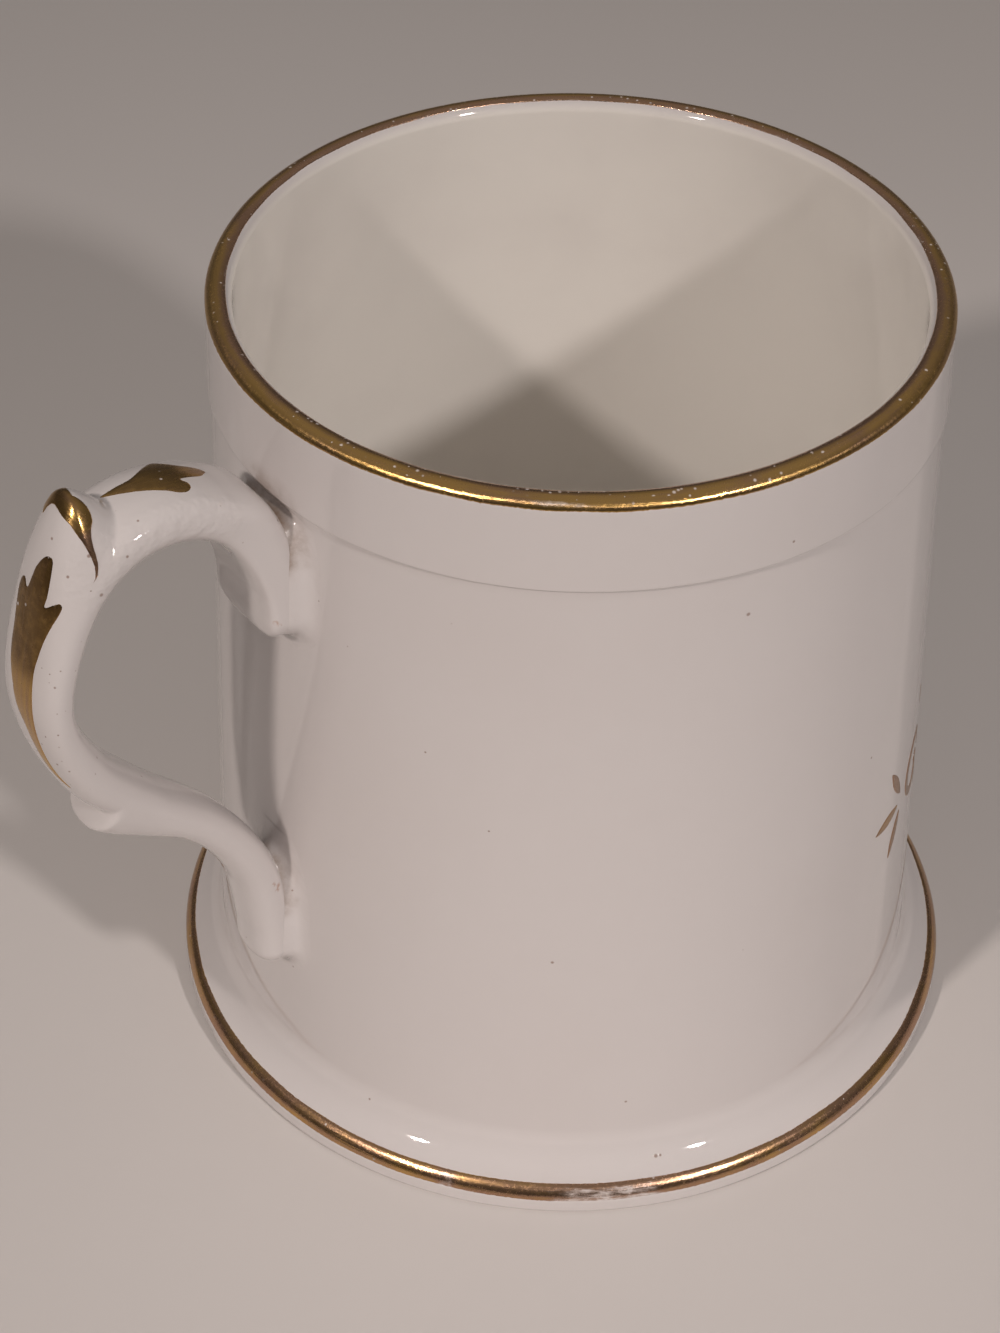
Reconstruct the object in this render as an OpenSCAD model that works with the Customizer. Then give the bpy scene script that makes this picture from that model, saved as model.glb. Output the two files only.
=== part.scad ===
// Gilded porcelain christening mug: a turned cup on a spread foot, a cast scroll handle that is
// luted on with slip at both ends, and gilding laid on the lip, the foot, the handle and the wall.
// Millimetres. The cup stands on z = 0 with its axis on Z, and the handle points along -X.

/* [Cup] */
// Height from the table to the top of the lip
height = 90; // [84:1:98]
// Outer diameter across the lip
rim_d = 74; // [68:1:80]
// Thickness of the rounded lip
lip_t = 2.7; // [2.3:0.1:3.2]
// Growth of the wall's radius for each millimetre further down
wall_taper = 0.039; // [0.03:0.001:0.045]
// Height of the raised collar below the lip
collar_h = 10; // [8:0.5:12]
// How far the collar stands out from the wall below it
collar_step = 0.45; // [0.3:0.05:0.7]
// Radius of the corner between the inner wall and the floor
corner_r = 7; // [4:0.5:9]
// Thickness of the floor
floor_t = 3.6; // [3:0.1:4.5]

/* [Foot] */
// Outer diameter of the foot
foot_d = 88.8; // [87:0.2:92]
// Radius of the rounded edge of the foot
edge_r = 2.2; // [1.8:0.1:2.6]
// Radius of the hollow curve from the wall out to the foot
flare_r = 5.5; // [4.5:0.5:7]
// Width of the flat ring that the mug stands on
ring_w = 3.4; // [2.5:0.1:4.5]
// Depth of the recess under the floor
recess_h = 2.6; // [1.5:0.1:3]

/* [Handle] */
// Height of the pointed thumb crest above the strap
crest_rise = 5.1; // [3:0.1:5.5]
// Height of the rounded spur under the lower bend
spur_rise = 2.4; // [1:0.1:2.8]
// Thickness of the slip that joins the handle to the wall
slip_t = 0.3; // [0.2:0.05:0.5]
// Width of slip that shows around the end of the handle
slip_margin = 0.1; // [0:0.1:0.5]

/* [Gilding] */
// Thickness that the gold is modelled with
gold_t = 0.15; // [0.1:0.01:0.25]
// Where the gold of the lip starts, in degrees above the outermost line
rim_gold_from = 15; // [6:1:30]
// Where the gold of the lip ends, in degrees over the top to the inside
rim_gold_to = 125; // [105:1:150]
// Where the gold of the foot starts, in degrees above the outermost line
foot_gold_from = 3; // [0:1:15]
// Where the gold of the foot ends, in degrees up the rounded edge
foot_gold_to = 66; // [50:1:66]

/* [Wall ornament] */
// Height of the middle of the scroll ornament
ornament_z = 34; // [30:0.5:40]
// Greatest width of the painted strokes
stroke_w = 1.1; // [0.7:0.1:1.3]
// Radius of the largest scrolls
scroll_r = 6; // [5:0.5:6]
// Distance between one scroll and the next, round the wall
scroll_pitch = 13; // [12:0.5:14]

/* [Hidden] */
$fn = 96;

porcelain = "#f1ebe6";
slip = "#e4dcd2";
gold = "#b8862e";

// The wall leans by this angle, so every circle that blends into it touches it there
lean = atan(wall_taper);
lip_r = lip_t / 2;
lip_z = height - lip_r;
lip_x = rim_d / 2 - lip_r / cos(lean);
collar_z = height - collar_h;
floor_z = recess_h + floor_t;
edge_x = foot_d / 2 - edge_r;
ring_in = edge_x - ring_w;
recess_lean = 1;
past = 1;

function collar_x(z) = rim_d / 2 + wall_taper * (lip_z - z);
function wall_x(z) = collar_x(z) - collar_step;
function inner_x(z) = collar_x(z) - lip_t / cos(lean);

// A point at the given angle on a circle
function on_circle(centre, r, a) = centre + r * [cos(a), sin(a)];

// The hollow of the flare touches the wall and the rounded edge of the foot
flare_p = wall_x(0) + flare_r / cos(lean) - edge_x;
flare_b = flare_p * wall_taper + edge_r;
flare_c = pow(flare_p, 2) + pow(edge_r, 2) - pow(flare_r + edge_r, 2);
flare_q = 1 + pow(wall_taper, 2);
flare_z = (flare_b + sqrt(pow(flare_b, 2) - flare_q * flare_c)) / flare_q;
flare_x = wall_x(flare_z) + flare_r / cos(lean);
flare_a = atan2(flare_z - edge_r, flare_x - edge_x);

// Section of the cup

module collar_outline() {
    round_z = collar_z + collar_step;
    round_x = collar_x(round_z) - collar_step / cos(lean);
    polygon([
        [0, collar_z], [round_x, collar_z],
        on_circle([round_x, round_z], collar_step, lean),
        on_circle([lip_x, lip_z], lip_r, lean),
        on_circle([lip_x, lip_z], lip_r, lean + 180),
        [0, lip_z - lip_r],
    ]);
    translate([round_x, round_z]) circle(collar_step);
    translate([lip_x, lip_z]) circle(lip_r);
}

module wall_outline() {
    difference() {
        polygon([
            [0, 0], [edge_x, 0],
            on_circle([edge_x, edge_r], edge_r, flare_a),
            on_circle([flare_x, flare_z], flare_r, 180 + lean),
            [wall_x(collar_z + collar_step), collar_z + collar_step],
            [0, collar_z + collar_step],
        ]);
        translate([flare_x, flare_z]) circle(flare_r);
    }
    translate([edge_x, edge_r]) circle(edge_r);
}

module hollow_outline() {
    corner_z = floor_z + corner_r;
    corner_x = inner_x(corner_z) - corner_r / cos(lean);
    polygon([
        [0, floor_z], [corner_x, floor_z],
        on_circle([corner_x, corner_z], corner_r, lean),
        [inner_x(height + past), height + past],
        [0, height + past],
    ]);
    translate([corner_x, corner_z]) circle(corner_r);
}

module recess_outline() {
    polygon([
        [0, -past], [ring_in, -past], [ring_in, 0],
        [ring_in - recess_lean, recess_h], [0, recess_h],
    ]);
}

// Band between the wall and a line at some distance out from it
module wall_skin(t, z0, z1) {
    rotate_extrude()
        polygon([[wall_x(z0), z0], [wall_x(z0) + t, z0], [wall_x(z1) + t, z1], [wall_x(z1), z1]]);
}

// Ring of gold on a rounded edge, between two angles of its section
module gold_on_round(x, z, r, from, to) {
    reach = 4 * r;
    middle = (from + to) / 2;
    rotate_extrude()
        translate([x, z])
            intersection() {
                difference() {
                    circle(r + gold_t);
                    circle(r);
                }
                polygon([
                    [0, 0], on_circle([0, 0], reach, from),
                    on_circle([0, 0], reach, middle), on_circle([0, 0], reach, to),
                ]);
            }
}

// Shape of the handle: each row is how far out from the wall the middle of the strap is, how high
// it is on a mug of route_height, half the strap's thickness and half its width
route_height = 90;
route = [
    [2.0, 65.2, 2.5, 4.8],
    [2.3, 72.5, 2.7, 5.0],
    [6.0, 80.5, 2.7, 4.9],
    [12.3, 83.5, 2.8, 4.8],
    [18.8, 82.5, 2.7, 4.9],
    [23.4, 77.5, 2.5, 4.9],
    [25.9, 67.5, 2.1, 4.8],
    [22.8, 57.5, 2.3, 4.6],
    [16.0, 49.5, 2.2, 4.2],
    [8.7, 42.5, 2.2, 3.9],
    [3.9, 34.5, 2.4, 3.8],
    [2.0, 26.0, 2.4, 3.7],
    [1.8, 20.0, 2.2, 3.6],
];
route_end = len(route) - 1;
crest_u = 3.97;
crest_front = 0.08;
crest_tail = 1.6;
crest_sweep = 0.4;
crest_power = 3.4;
spur_u = 7.47;
spur_front = 0.12;
spur_tail = 0.95;
spur_power = 0.8;
tip_u = 0.5;
section_power = 0.85;
section_sides = 24;
tangent_step = 0.01;

// Distance from the axis, height and half sizes at one row of the route
function station(i) = let (r = route[max(0, min(i, route_end))], z = r[1] * height / route_height)
    [wall_x(z) + r[0], z, r[2], r[3]];

// Smooth curve through the stations, where a whole number u is a station
function strap(u) =
    let (i = min(floor(u), route_end - 1), t = u - i,
         a = station(i - 1), b = station(i), c = station(i + 1), d = station(i + 2))
    0.5 * (2 * b + (c - a) * t + (2 * a - 5 * b + 4 * c - d) * pow(t, 2)
        + (3 * b - a - 3 * c + d) * pow(t, 3));

function ease(x, from, to) = let (t = max(0, min(1, (x - from) / (to - from)))) t * t * (3 - 2 * t);
function power(x, p) = sign(x) * pow(abs(x), p);
function unit(v) = v / norm(v);

// The strap's ends are rounded like fingertips
function tip(u) = sqrt(1 - pow(1 - min(1, min(u, route_end - u) / tip_u), 2));

// The crest and the spur each rise steeply on the upper side and die away down the strap. The
// crest is pointed in the middle, and its ridge sweeps back down both sides of the strap.
function ridge(a) = crest_u + crest_sweep * pow(sin(a), 2);
function crest(x) = ease(x, -crest_front, 0) * pow(1 - max(0, min(1, x / crest_tail)), 2);
function spur(x) = ease(x, 0, spur_front) * (1 - ease(x, spur_front, spur_front + spur_tail));
function rise(u, a) = let (c = max(0, cos(a)))
    crest_rise * pow(c, crest_power) * crest(u - ridge(a)) + spur_rise * pow(c, spur_power) * spur(u - spur_u);

// Direction across the strap, away from the middle of the loop
function outward(u) =
    let (a = strap(max(0, u - tangent_step)), b = strap(min(route_end, u + tangent_step)),
         t = unit([b[0] - a[0], b[1] - a[1]]))
    [-t[1], t[0]];

// A point on the handle, where a = 0 is the outer face and a grows towards -Y, lifted off the surface
// by some height. No point goes nearer to the wall than the slip.
function handle_point(u, a, lift = 0) =
    let (s = strap(u), n = outward(u), k = tip(u),
         o = k * (power(cos(a), section_power) * (s[2] + lift) + rise(u, a)),
         y = k * power(sin(a), section_power) * (s[3] + lift),
         x = s[0] + n[0] * o, z = s[1] + n[1] * o,
         near = norm([x, y]), wall = wall_x(z) + slip_t, f = near < wall ? wall / near : 1)
    [-x * f, -y * f, z];

// Evenly spaced values from a up to, but not including, b
function run(a, b, n) = [for (k = [0:n - 1]) a + (b - a) * k / n];

// Closed solid from rings of equal size, with a point at each end
module ringed_solid(rings, start, end) {
    m = len(rings[0]);
    n = len(rings);
    last = n * m + 1;
    points = concat([start], [for (r = rings) for (p = r) p], [end]);
    ends = [for (j = [0:m - 1]) let (k = (j + 1) % m)
        each [[0, 1 + k, 1 + j], [last, last - m + j, last - m + k]]];
    sides = [for (i = [0:n - 2]) for (j = [0:m - 1])
        let (p = 1 + i * m + j, q = 1 + i * m + (j + 1) % m)
        each [[p, q, q + m], [p, q + m, p + m]]];
    polyhedron(points, concat(ends, sides));
}

// Thin closed skin of gold: rows of m points on a surface and the same rows lifted off it. Seen from
// outside, the points in a row run to the right of the way from each row to the next.
module gold_skin(low, high, m) {
    n = len(low) / m;
    top = n * m;
    skins = [for (i = [0:n - 2]) for (j = [0:m - 2]) let (p = i * m + j, q = p + m)
        each [[p, p + 1, q + 1], [p, q + 1, q],
              [top + p, top + q + 1, top + p + 1], [top + p, top + q, top + q + 1]]];
    rim = concat(
        [for (j = [0:m - 1]) j],
        [for (i = [1:n - 1]) i * m + m - 1],
        [for (j = [m - 2:-1:0]) (n - 1) * m + j],
        [for (i = [n - 2:-1:1]) i * m]);
    edges = [for (k = [0:len(rim) - 1]) let (p = rim[k], q = rim[(k + 1) % len(rim)])
        each [[p, top + p, top + q], [p, top + q, q]]];
    polyhedron(concat(low, high), concat(skins, edges));
}

// Gold on the handle, from rows of places [u, a]
module handle_patch(rows) {
    gold_skin(
        [for (r = rows) for (p = r) handle_point(p[0], p[1])],
        [for (r = rows) for (p = r) handle_point(p[0], p[1], gold_t)],
        len(rows[0]));
}

// A leaf on the handle is one long middle stroke and a shorter one on each side of it. Its stalk is
// at u_stalk and its tip at u_tip, and its strokes are measured in degrees round the strap.
leaf_rows = 12;
leaf_columns = 4;
leaf_reach = 14;
leaf_least = 0.6;
lobe_start = 0.42;
lobe_end = 0.86;
lobe_width = 17;
lobe_spread = 12;
lobe_gap = 0.4;

function leaf_edge(t) = max(leaf_least, leaf_reach * pow(t, 0.9) * sqrt(1 - pow(t, 5)));
function lobe_edge(t) = max(leaf_least, lobe_width * sqrt(t) * (1 - pow(t, 3)));

module handle_leaf(u_stalk, u_tip, middle) {
    handle_patch([for (i = [0:leaf_rows]) let (t = i / leaf_rows)
        [for (j = [0:leaf_columns])
            [u_stalk + (u_tip - u_stalk) * t,
             middle + leaf_edge(t) * (2 * j / leaf_columns - 1) * sign(u_stalk - u_tip)]]]);
    for (side = [-1, 1])
        handle_patch([for (i = [0:leaf_rows])
            let (s = i / leaf_rows, t = lobe_start + (lobe_end - lobe_start) * s,
                 from = leaf_edge(t) + lobe_gap + lobe_spread * pow(s, 2), wide = lobe_edge(s))
            [for (j = [0:leaf_columns])
                [u_stalk + (u_tip - u_stalk) * t,
                 middle + side * (from + wide * (side > 0 ? j : leaf_columns - j) / leaf_columns)]]]);
}

// Ornament on the wall opposite the handle. Each brush stroke is an outline, placed some way round
// the wall and cut from a skin of the wall.
ornament_reach = 12;
module wall_stroke(round_wall, outline) {
    intersection() {
        wall_skin(gold_t, ornament_z - ornament_reach, ornament_z + ornament_reach);
        rotate([0, 0, round_wall / wall_x(ornament_z) * 180 / PI])
            rotate([90, 0, 90])
                linear_extrude(foot_d)
                    translate([0, ornament_z])
                        polygon(outline);
    }
}

// A curl winds inward, swells in the middle and ends in a bead
curl_rows = 40;
curl_eye = 1.4;
bead_from = 0.9;
function curl_half(t) = stroke_w * (0.2 + 0.35 * sin(180 * t)
    + 0.75 * sin(180 * max(0, (t - bead_from) / (1 - bead_from))));
function curl_side(r, from, to, side) = [for (i = [0:curl_rows]) let (t = i / curl_rows)
    on_circle([0, 0], r + (curl_eye - r) * t + side * curl_half(t), from + (to - from) * t)];
function curl(r, from, to) = let (far = curl_side(r, from, to, 1), near = curl_side(r, from, to, -1))
    concat(far, [for (i = [curl_rows:-1:0]) near[i]]);

// A leaf is one pointed stroke from its foot out along the angle a
leaf_points = 10;
function leaf_half(t) = pow(sin(180 * t), 0.8) / 2;
function leaf_side(foot, a, length, width, side) = [for (i = [0:leaf_points - 1])
    let (t = (side > 0 ? i : leaf_points - i) / leaf_points)
    on_circle(on_circle(foot, length * t, a), width * leaf_half(t), a + 90 * side)];
function leaf(foot, a, length, width) =
    concat(leaf_side(foot, a, length, width, 1), leaf_side(foot, a, length, width, -1));

// Pad of slip under one end of the handle, as long as the stretch of strap that lies on the wall. The
// strap is rounded, so the part of its width that lies on the wall is slip_share.
slip_share = 0.9;
module stadium(half, from, to) {
    translate([0, from + half]) circle(half);
    translate([0, to - half]) circle(half);
    translate([-half, from + half]) square([2 * half, to - from - 2 * half]);
}

module slip_pad(half, from, to) {
    reach = foot_d;
    intersection() {
        wall_skin(slip_t, from - past, to + past);
        rotate([90, 0, -90]) linear_extrude(reach) stadium(slip_share * half + slip_margin, from, to);
    }
}

// Sub-parts

module cup_body() {
    color(porcelain)
        rotate_extrude()
            difference() {
                union() {
                    wall_outline();
                    collar_outline();
                }
                hollow_outline();
                recess_outline();
            }
}

// Rings near the crest lean back with its ridge, so that the ridge is an edge of the solid
function along_ridge(u) = ease(u, crest_u - 0.9, crest_u - crest_front) * (1 - ease(u, crest_u, crest_u + 1.1));

module handle() {
    first_u = 0.03;
    places = concat(
        run(first_u, tip_u, 4), run(tip_u, crest_u - crest_front, 14),
        run(crest_u - crest_front, crest_u, 3), run(crest_u, spur_u, 17),
        run(spur_u, spur_u + spur_front, 3), run(spur_u + spur_front, route_end - tip_u, 16),
        run(route_end - tip_u, route_end - first_u, 4), [route_end - first_u]);
    rings = [for (u = places) [for (j = [0:section_sides - 1]) let (a = 360 * j / section_sides)
        handle_point(u + along_ridge(u) * (ridge(a) - crest_u), a)]];
    color(porcelain) ringed_solid(rings, handle_point(0, 0), handle_point(route_end, 0));
}

module upper_slip_joint() {
    color(slip) slip_pad(route[0][3], station(0)[1] - slip_margin, station(1)[1] + route[1][3]);
}

module lower_slip_joint() {
    color(slip) slip_pad(route[route_end][3], station(route_end)[1] - slip_margin, station(route_end - 2)[1]);
}

module rim_gilding() {
    color(gold) gold_on_round(lip_x, lip_z, lip_r, rim_gold_from, rim_gold_to);
}

module foot_gilding() {
    color(gold) gold_on_round(edge_x, edge_r, edge_r, foot_gold_from, foot_gold_to);
}

// Gold on the steep front of the crest and over its point, tapering down both sides of the strap
module crest_gilding() {
    reach = 78;
    over = 0.12;
    rows = 24;
    columns = 6;
    color(gold)
        handle_patch([for (i = [0:rows])
            let (a = reach * (2 * i / rows - 1), k = 1 - pow(a / (reach + 2), 2),
                 low = ridge(a) - crest_front * k, high = ridge(a) + over * pow(cos(a), 6) + crest_front * k / 8)
            [for (j = [0:columns]) [low + (high - low) * j / columns, a]]]);
}

module upper_leaf_gilding() {
    color(gold) handle_leaf(3.75, 2.45, -3);
}

module lower_leaf_gilding() {
    color(gold) handle_leaf(6.75, 4.45, 14);
}

module wall_scroll_gilding() {
    color(gold)
        for (side = [-1, 1]) for (k = [0:2])
            let (up = side * (1 - 2 * (k % 2)), start = 90 - 90 * -side + 10 * up)
                wall_stroke(side * scroll_pitch * (k + 0.7),
                    curl(scroll_r * (1 - 0.1 * k), start, start - 400 * up));
}

module wall_leaf_gilding() {
    end = 3.1 * scroll_pitch;
    color(gold) {
        for (a = [20, 55, 90, 125, 160])
            wall_stroke(0, leaf(on_circle([0, 1], 1.5, a), a, 5 + 3 * sin(a), 2.2));
        wall_stroke(0, leaf([0, -1.5], -90, 6, 2.2));
        for (side = [-1, 1]) {
            for (k = [1:2]) for (up = [-1, 1])
                wall_stroke(side * scroll_pitch * (k + 0.2),
                    leaf([0, 3.4 * up], 90 - (90 - 72 * up) * side, 6.5 - k, 1.9));
            for (a = [-60, 0, 60])
                wall_stroke(side * end, leaf(on_circle([0, 0], 1.3, 90 - (90 - a) * side),
                    90 - (90 - a) * side, 6, 2));
        }
    }
}

cup_body();
handle();
upper_slip_joint();
lower_slip_joint();
rim_gilding();
foot_gilding();
crest_gilding();
upper_leaf_gilding();
lower_leaf_gilding();
wall_scroll_gilding();
wall_leaf_gilding();
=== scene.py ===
"""Looks of a gilded porcelain christening mug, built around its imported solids.

The cup is turned, the scroll handle is cast and joined to the wall with slip, and gold is laid on the
lip, the foot, the handle and the wall. Sizes are in metres: the mug stands on z = 0 with its axis on Z
and its handle along -X. Angles on the handle are degrees round the strap, where 0 is its outer face.
"""

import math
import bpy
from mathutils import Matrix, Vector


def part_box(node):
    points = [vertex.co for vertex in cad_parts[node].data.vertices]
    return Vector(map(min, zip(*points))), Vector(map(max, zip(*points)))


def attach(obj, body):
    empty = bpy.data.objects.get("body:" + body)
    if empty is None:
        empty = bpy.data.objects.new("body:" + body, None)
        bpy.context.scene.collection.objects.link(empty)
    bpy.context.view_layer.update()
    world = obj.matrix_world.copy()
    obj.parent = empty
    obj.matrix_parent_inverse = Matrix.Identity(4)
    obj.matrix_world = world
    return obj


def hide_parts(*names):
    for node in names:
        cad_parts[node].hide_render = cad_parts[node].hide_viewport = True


bl_info = {
    "name": "Christening Mug",
    "version": (1, 0, 0),
    "blender": (4, 5, 0),
    "location": "3D View > Sidebar > Mug",
    "description": "Builds a gilded porcelain christening mug around its packed solids",
    "category": "Object",
}

import bmesh
import bpy
import numpy as np
from bpy.props import FloatProperty, FloatVectorProperty, PointerProperty
from bpy.types import Operator, Panel, PropertyGroup
from mathutils import Matrix, Vector
from mathutils.geometry import delaunay_2d_cdt
from mathutils.kdtree import KDTree

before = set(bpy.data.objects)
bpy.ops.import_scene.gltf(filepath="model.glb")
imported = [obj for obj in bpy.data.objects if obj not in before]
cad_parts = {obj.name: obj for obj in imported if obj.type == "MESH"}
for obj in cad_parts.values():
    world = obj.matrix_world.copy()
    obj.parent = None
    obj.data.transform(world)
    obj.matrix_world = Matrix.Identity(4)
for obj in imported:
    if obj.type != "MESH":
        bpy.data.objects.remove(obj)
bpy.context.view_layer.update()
CUP_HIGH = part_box("cup_body")[1]
MM = 0.001
SEED = 7

# Route of the handle: how far out from the wall the middle of the strap is, its height, half its
# thickness and half its width, all in millimetres on a mug of ROUTE_HEIGHT
ROUTE_HEIGHT = 90 * MM
HANDLE_ROUTE = (
    (1.5, 65.2, 2.1, 5.6),
    (2.0, 72.5, 2.3, 5.6),
    (5.8, 80.6, 2.6, 5.3),
    (12.3, 83.8, 2.8, 4.9),
    (18.8, 82.8, 2.7, 4.9),
    (23.5, 77.5, 2.35, 4.9),
    (25.9, 67.5, 2.1, 4.8),
    (22.6, 57.7, 2.5, 4.6),
    (16.0, 49.9, 2.2, 4.2),
    (8.7, 42.5, 2.2, 3.9),
    (3.9, 34.5, 2.4, 3.8),
    (2.0, 26.0, 2.4, 3.7),
    (1.8, 20.0, 2.2, 3.6),
)
ROUTE_END = len(HANDLE_ROUTE) - 1

# Outlines of the painted leaves: place along the route and degrees round the strap
UPPER_LEAF = (
    (3.68, -11), (3.5, -12), (3.3, -13), (3.16, -20), (3.0, -31), (2.88, -38), (2.77, -28), (2.65, -18),
    (2.5, -12), (2.4, -8), (2.37, -3), (2.52, 2), (2.7, 4), (2.79, 6), (2.74, 12), (2.75, 20), (2.83, 27),
    (2.94, 26), (3.06, 19), (3.24, 10), (3.4, 3), (3.54, -2), (3.64, -7),
)
LOWER_LEAF = (
    (4.45, 11), (4.45, 18), (4.53, 21), (4.65, 23), (4.8, 24), (4.91, 23), (4.84, 34), (4.79, 42),
    (4.81, 47), (4.9, 46), (5.04, 40), (5.22, 32), (5.4, 26), (5.57, 22), (5.85, 23), (6.1, 24),
    (6.3, 25), (6.55, 28), (6.72, 33), (6.88, 40), (6.76, 25), (6.6, 15), (6.38, 9), (6.17, 2),
    (6.0, -7), (5.8, -14), (5.64, -21), (5.5, -24), (5.3, -24), (5.1, -26), (4.94, -26), (4.84, -22),
    (4.8, -14), (4.87, -7), (4.74, -3), (4.6, 0), (4.5, 5),
)

# Gold of the crest: degrees round the strap, and how far along the route its front and back edges are from
# the ridge
CREST_GOLD = (
    (-69, 0.1, 0.16), (-68, 0.04, 0.09), (-64, -0.005, 0.045), (-60, -0.03, 0.02),
    (-53, -0.042, 0.015), (-47, -0.044, 0.025), (-40, -0.05, 0.045), (-32, -0.075, 0.085),
    (-25, -0.085, 0.14), (-18, -0.06, 0.23), (-14, -0.05, 0.17), (-9, -0.035, 0.138),
    (-4, -0.025, 0.13), (0, -0.02, 0.14), (4, -0.015, 0.15), (8, -0.04, 0.152),
    (12, -0.06, 0.147), (16, -0.075, 0.135), (22, -0.087, 0.112), (28, -0.087, 0.095),
    (34, -0.066, 0.072), (40, -0.05, 0.045), (47, -0.043, 0.025), (53, -0.042, 0.015),
    (60, -0.03, 0.02), (64, -0.005, 0.045), (68, 0.04, 0.085), (69, 0.1, 0.155),
)

# Single pits in the glaze of the wall: degrees round the axis, height and radius in millimetres
WALL_PITS = (
    (-102.5, 74.8, 0.28), (-130, 32.9, 0.24), (-96, 82, 0.2), (-150, 58, 0.16), (-118, 12, 0.2),
    (-74, 47, 0.18), (-113.5, 4.5, 0.3), (-112.8, 4.5, 0.2),
)

# Single pits and rusty flecks on the handle: place along the route, degrees round it, radius in millimetres
HANDLE_PITS = (
    (4.3, 8, 0.2), (4.2, 50, 0.24), (4.5, 41, 0.2), (4.5, 90, 0.26), (1.7, 40, 0.26), (1.4, 30, 0.24),
    (3.9, 80, 0.2), (3.55, 42, 0.16),
)
HANDLE_FLECKS = ((0.55, 114, 0.4), (0.5, 101, 0.3), (10.3, 108, 0.7), (10.2, 100, 0.4))


# Settings

def size(name, description, default):
    """A length in metres."""
    return FloatProperty(
        name=name, description=description, default=default, min=0.0, unit="LENGTH", precision=5,
    )


def angle(name, description, degrees):
    """An angle, written in degrees."""
    return FloatProperty(name=name, description=description, default=math.radians(degrees), unit="ROTATION")


def share(name, description, default):
    """A number without a unit."""
    return FloatProperty(name=name, description=description, default=default, subtype="FACTOR", precision=3)


def colour(name, description, default):
    """A colour in scene-linear red, green and blue."""
    return FloatVectorProperty(
        name=name, description=description, default=default, subtype="COLOR", min=0.0, max=1.0,
    )


class MUG_PG_cup(PropertyGroup):
    """Sizes of the turned cup above its foot."""

    height: size("Height", "From the table to the top of the lip", CUP_HIGH.z)
    rim_diameter: size("Rim diameter", "Outer diameter across the lip", 74 * MM)
    lip_thickness: size("Lip thickness", "Thickness of the rounded lip", 2.7 * MM)
    wall_taper: share("Wall taper", "Growth of the wall's radius for each metre further down", 0.039)
    collar_height: size("Collar height", "Height of the raised collar below the lip", 10 * MM)
    collar_step: size("Collar step", "How far the collar stands out from the wall", 0.45 * MM)
    corner_radius: size("Corner radius", "Corner between the inner wall and the floor", 7 * MM)
    floor_thickness: size("Floor thickness", "Thickness of the floor", 3.6 * MM)


class MUG_PG_foot(PropertyGroup):
    """Sizes of the spread foot."""

    diameter: size("Diameter", "Outer diameter of the foot", 2 * CUP_HIGH.x)
    edge_radius: size("Edge radius", "Rounded shoulder of the foot's edge", 2.2 * MM)
    edge_height: size("Edge height", "Upright side of the foot's edge, below its shoulder", 1.4 * MM)
    corner_radius: size("Corner radius", "Corner between the upright side and the standing ring", 0.5 * MM)
    flare_radius: size("Flare radius", "Hollow curve from the wall out to the foot", 5.2 * MM)
    ring_width: size("Ring width", "Flat ring that the mug stands on", 3.4 * MM)
    recess_depth: size("Recess depth", "Recess under the floor", 2.6 * MM)


class MUG_PG_handle(PropertyGroup):
    """Sizes of the scroll handle and of the slip that holds it."""

    crest_rise: size("Crest rise", "Height of the thumb crest above the strap", 4.1 * MM)
    spur_rise: size("Spur rise", "Height of the rounded spur under the lower bend", 2.4 * MM)
    slip_thickness: size("Slip thickness", "Slip between the strap and the wall", 0.3 * MM)
    fillet_width: size("Fillet width", "How far the slip spreads on the wall and up the strap", 2.8 * MM)


class MUG_PG_gilding(PropertyGroup):
    """Sizes of the gold."""

    film: size("Film", "How far the gold stands up from the glaze", 0.04 * MM)
    ragged: size("Ragged edge", "How far the edge of a gold band strays", 0.09 * MM)
    rim_from: angle("Rim from", "Lower edge of the lip's gold, above the outermost line", 15)
    rim_to: angle("Rim to", "Inner edge of the lip's gold, over the top", 125)
    foot_from: angle("Foot from", "Lower edge of the foot's gold, on its shoulder", 13)
    foot_to: angle("Foot to", "Upper edge of the foot's gold, on its shoulder", 64)
    ornament_height: size("Ornament height", "Middle of the scroll ornament on the wall", 34 * MM)
    stroke_width: size("Stroke width", "Greatest width of the painted strokes", 1.1 * MM)
    scroll_radius: size("Scroll radius", "Radius of the largest scrolls", 6 * MM)
    scroll_pitch: size("Scroll pitch", "Distance between scrolls round the wall", 13 * MM)


class MUG_PG_finish(PropertyGroup):
    """Colours of the finishes."""

    porcelain: colour("Porcelain", "Glazed porcelain outside", (0.71, 0.67, 0.66))
    # The same glaze as outside, painted lighter to stand in for the fill light inside the cup
    porcelain_inside_painted_light: colour("Porcelain inside", "Glaze inside the cup", (0.92, 0.885, 0.835))
    clouding: colour("Clouding", "Faint warm patches in the glaze", (0.67, 0.615, 0.595))
    biscuit: colour("Biscuit", "Unglazed porcelain of the standing ring", (0.62, 0.56, 0.50))
    # Colour of the joints' soiling, which also serves as painted shade in their crevices and under their
    # ends
    grime_and_shade: colour("Grime", "Dirt in the corners of the joints", (0.22, 0.13, 0.07))
    pit: colour("Pits", "Specks in the glaze", (0.27, 0.17, 0.13))
    fleck: colour("Flecks", "Rusty flecks on the handle", (0.45, 0.22, 0.13))
    gold: colour("Gold", "Full gold", (0.62, 0.385, 0.13))
    gold_thin: colour("Thin gold", "Gold that is rubbed thin", (0.46, 0.28, 0.18))
    # Dark gold, for dulled gold and for a painted dark reflection on the handle's gold
    gold_dull_and_dark_reflection: colour("Dull gold", "Gold that is dulled by handling", (0.20, 0.115, 0.045))
    floor: colour("Floor", "Pale floor", (0.70, 0.665, 0.645))


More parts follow.
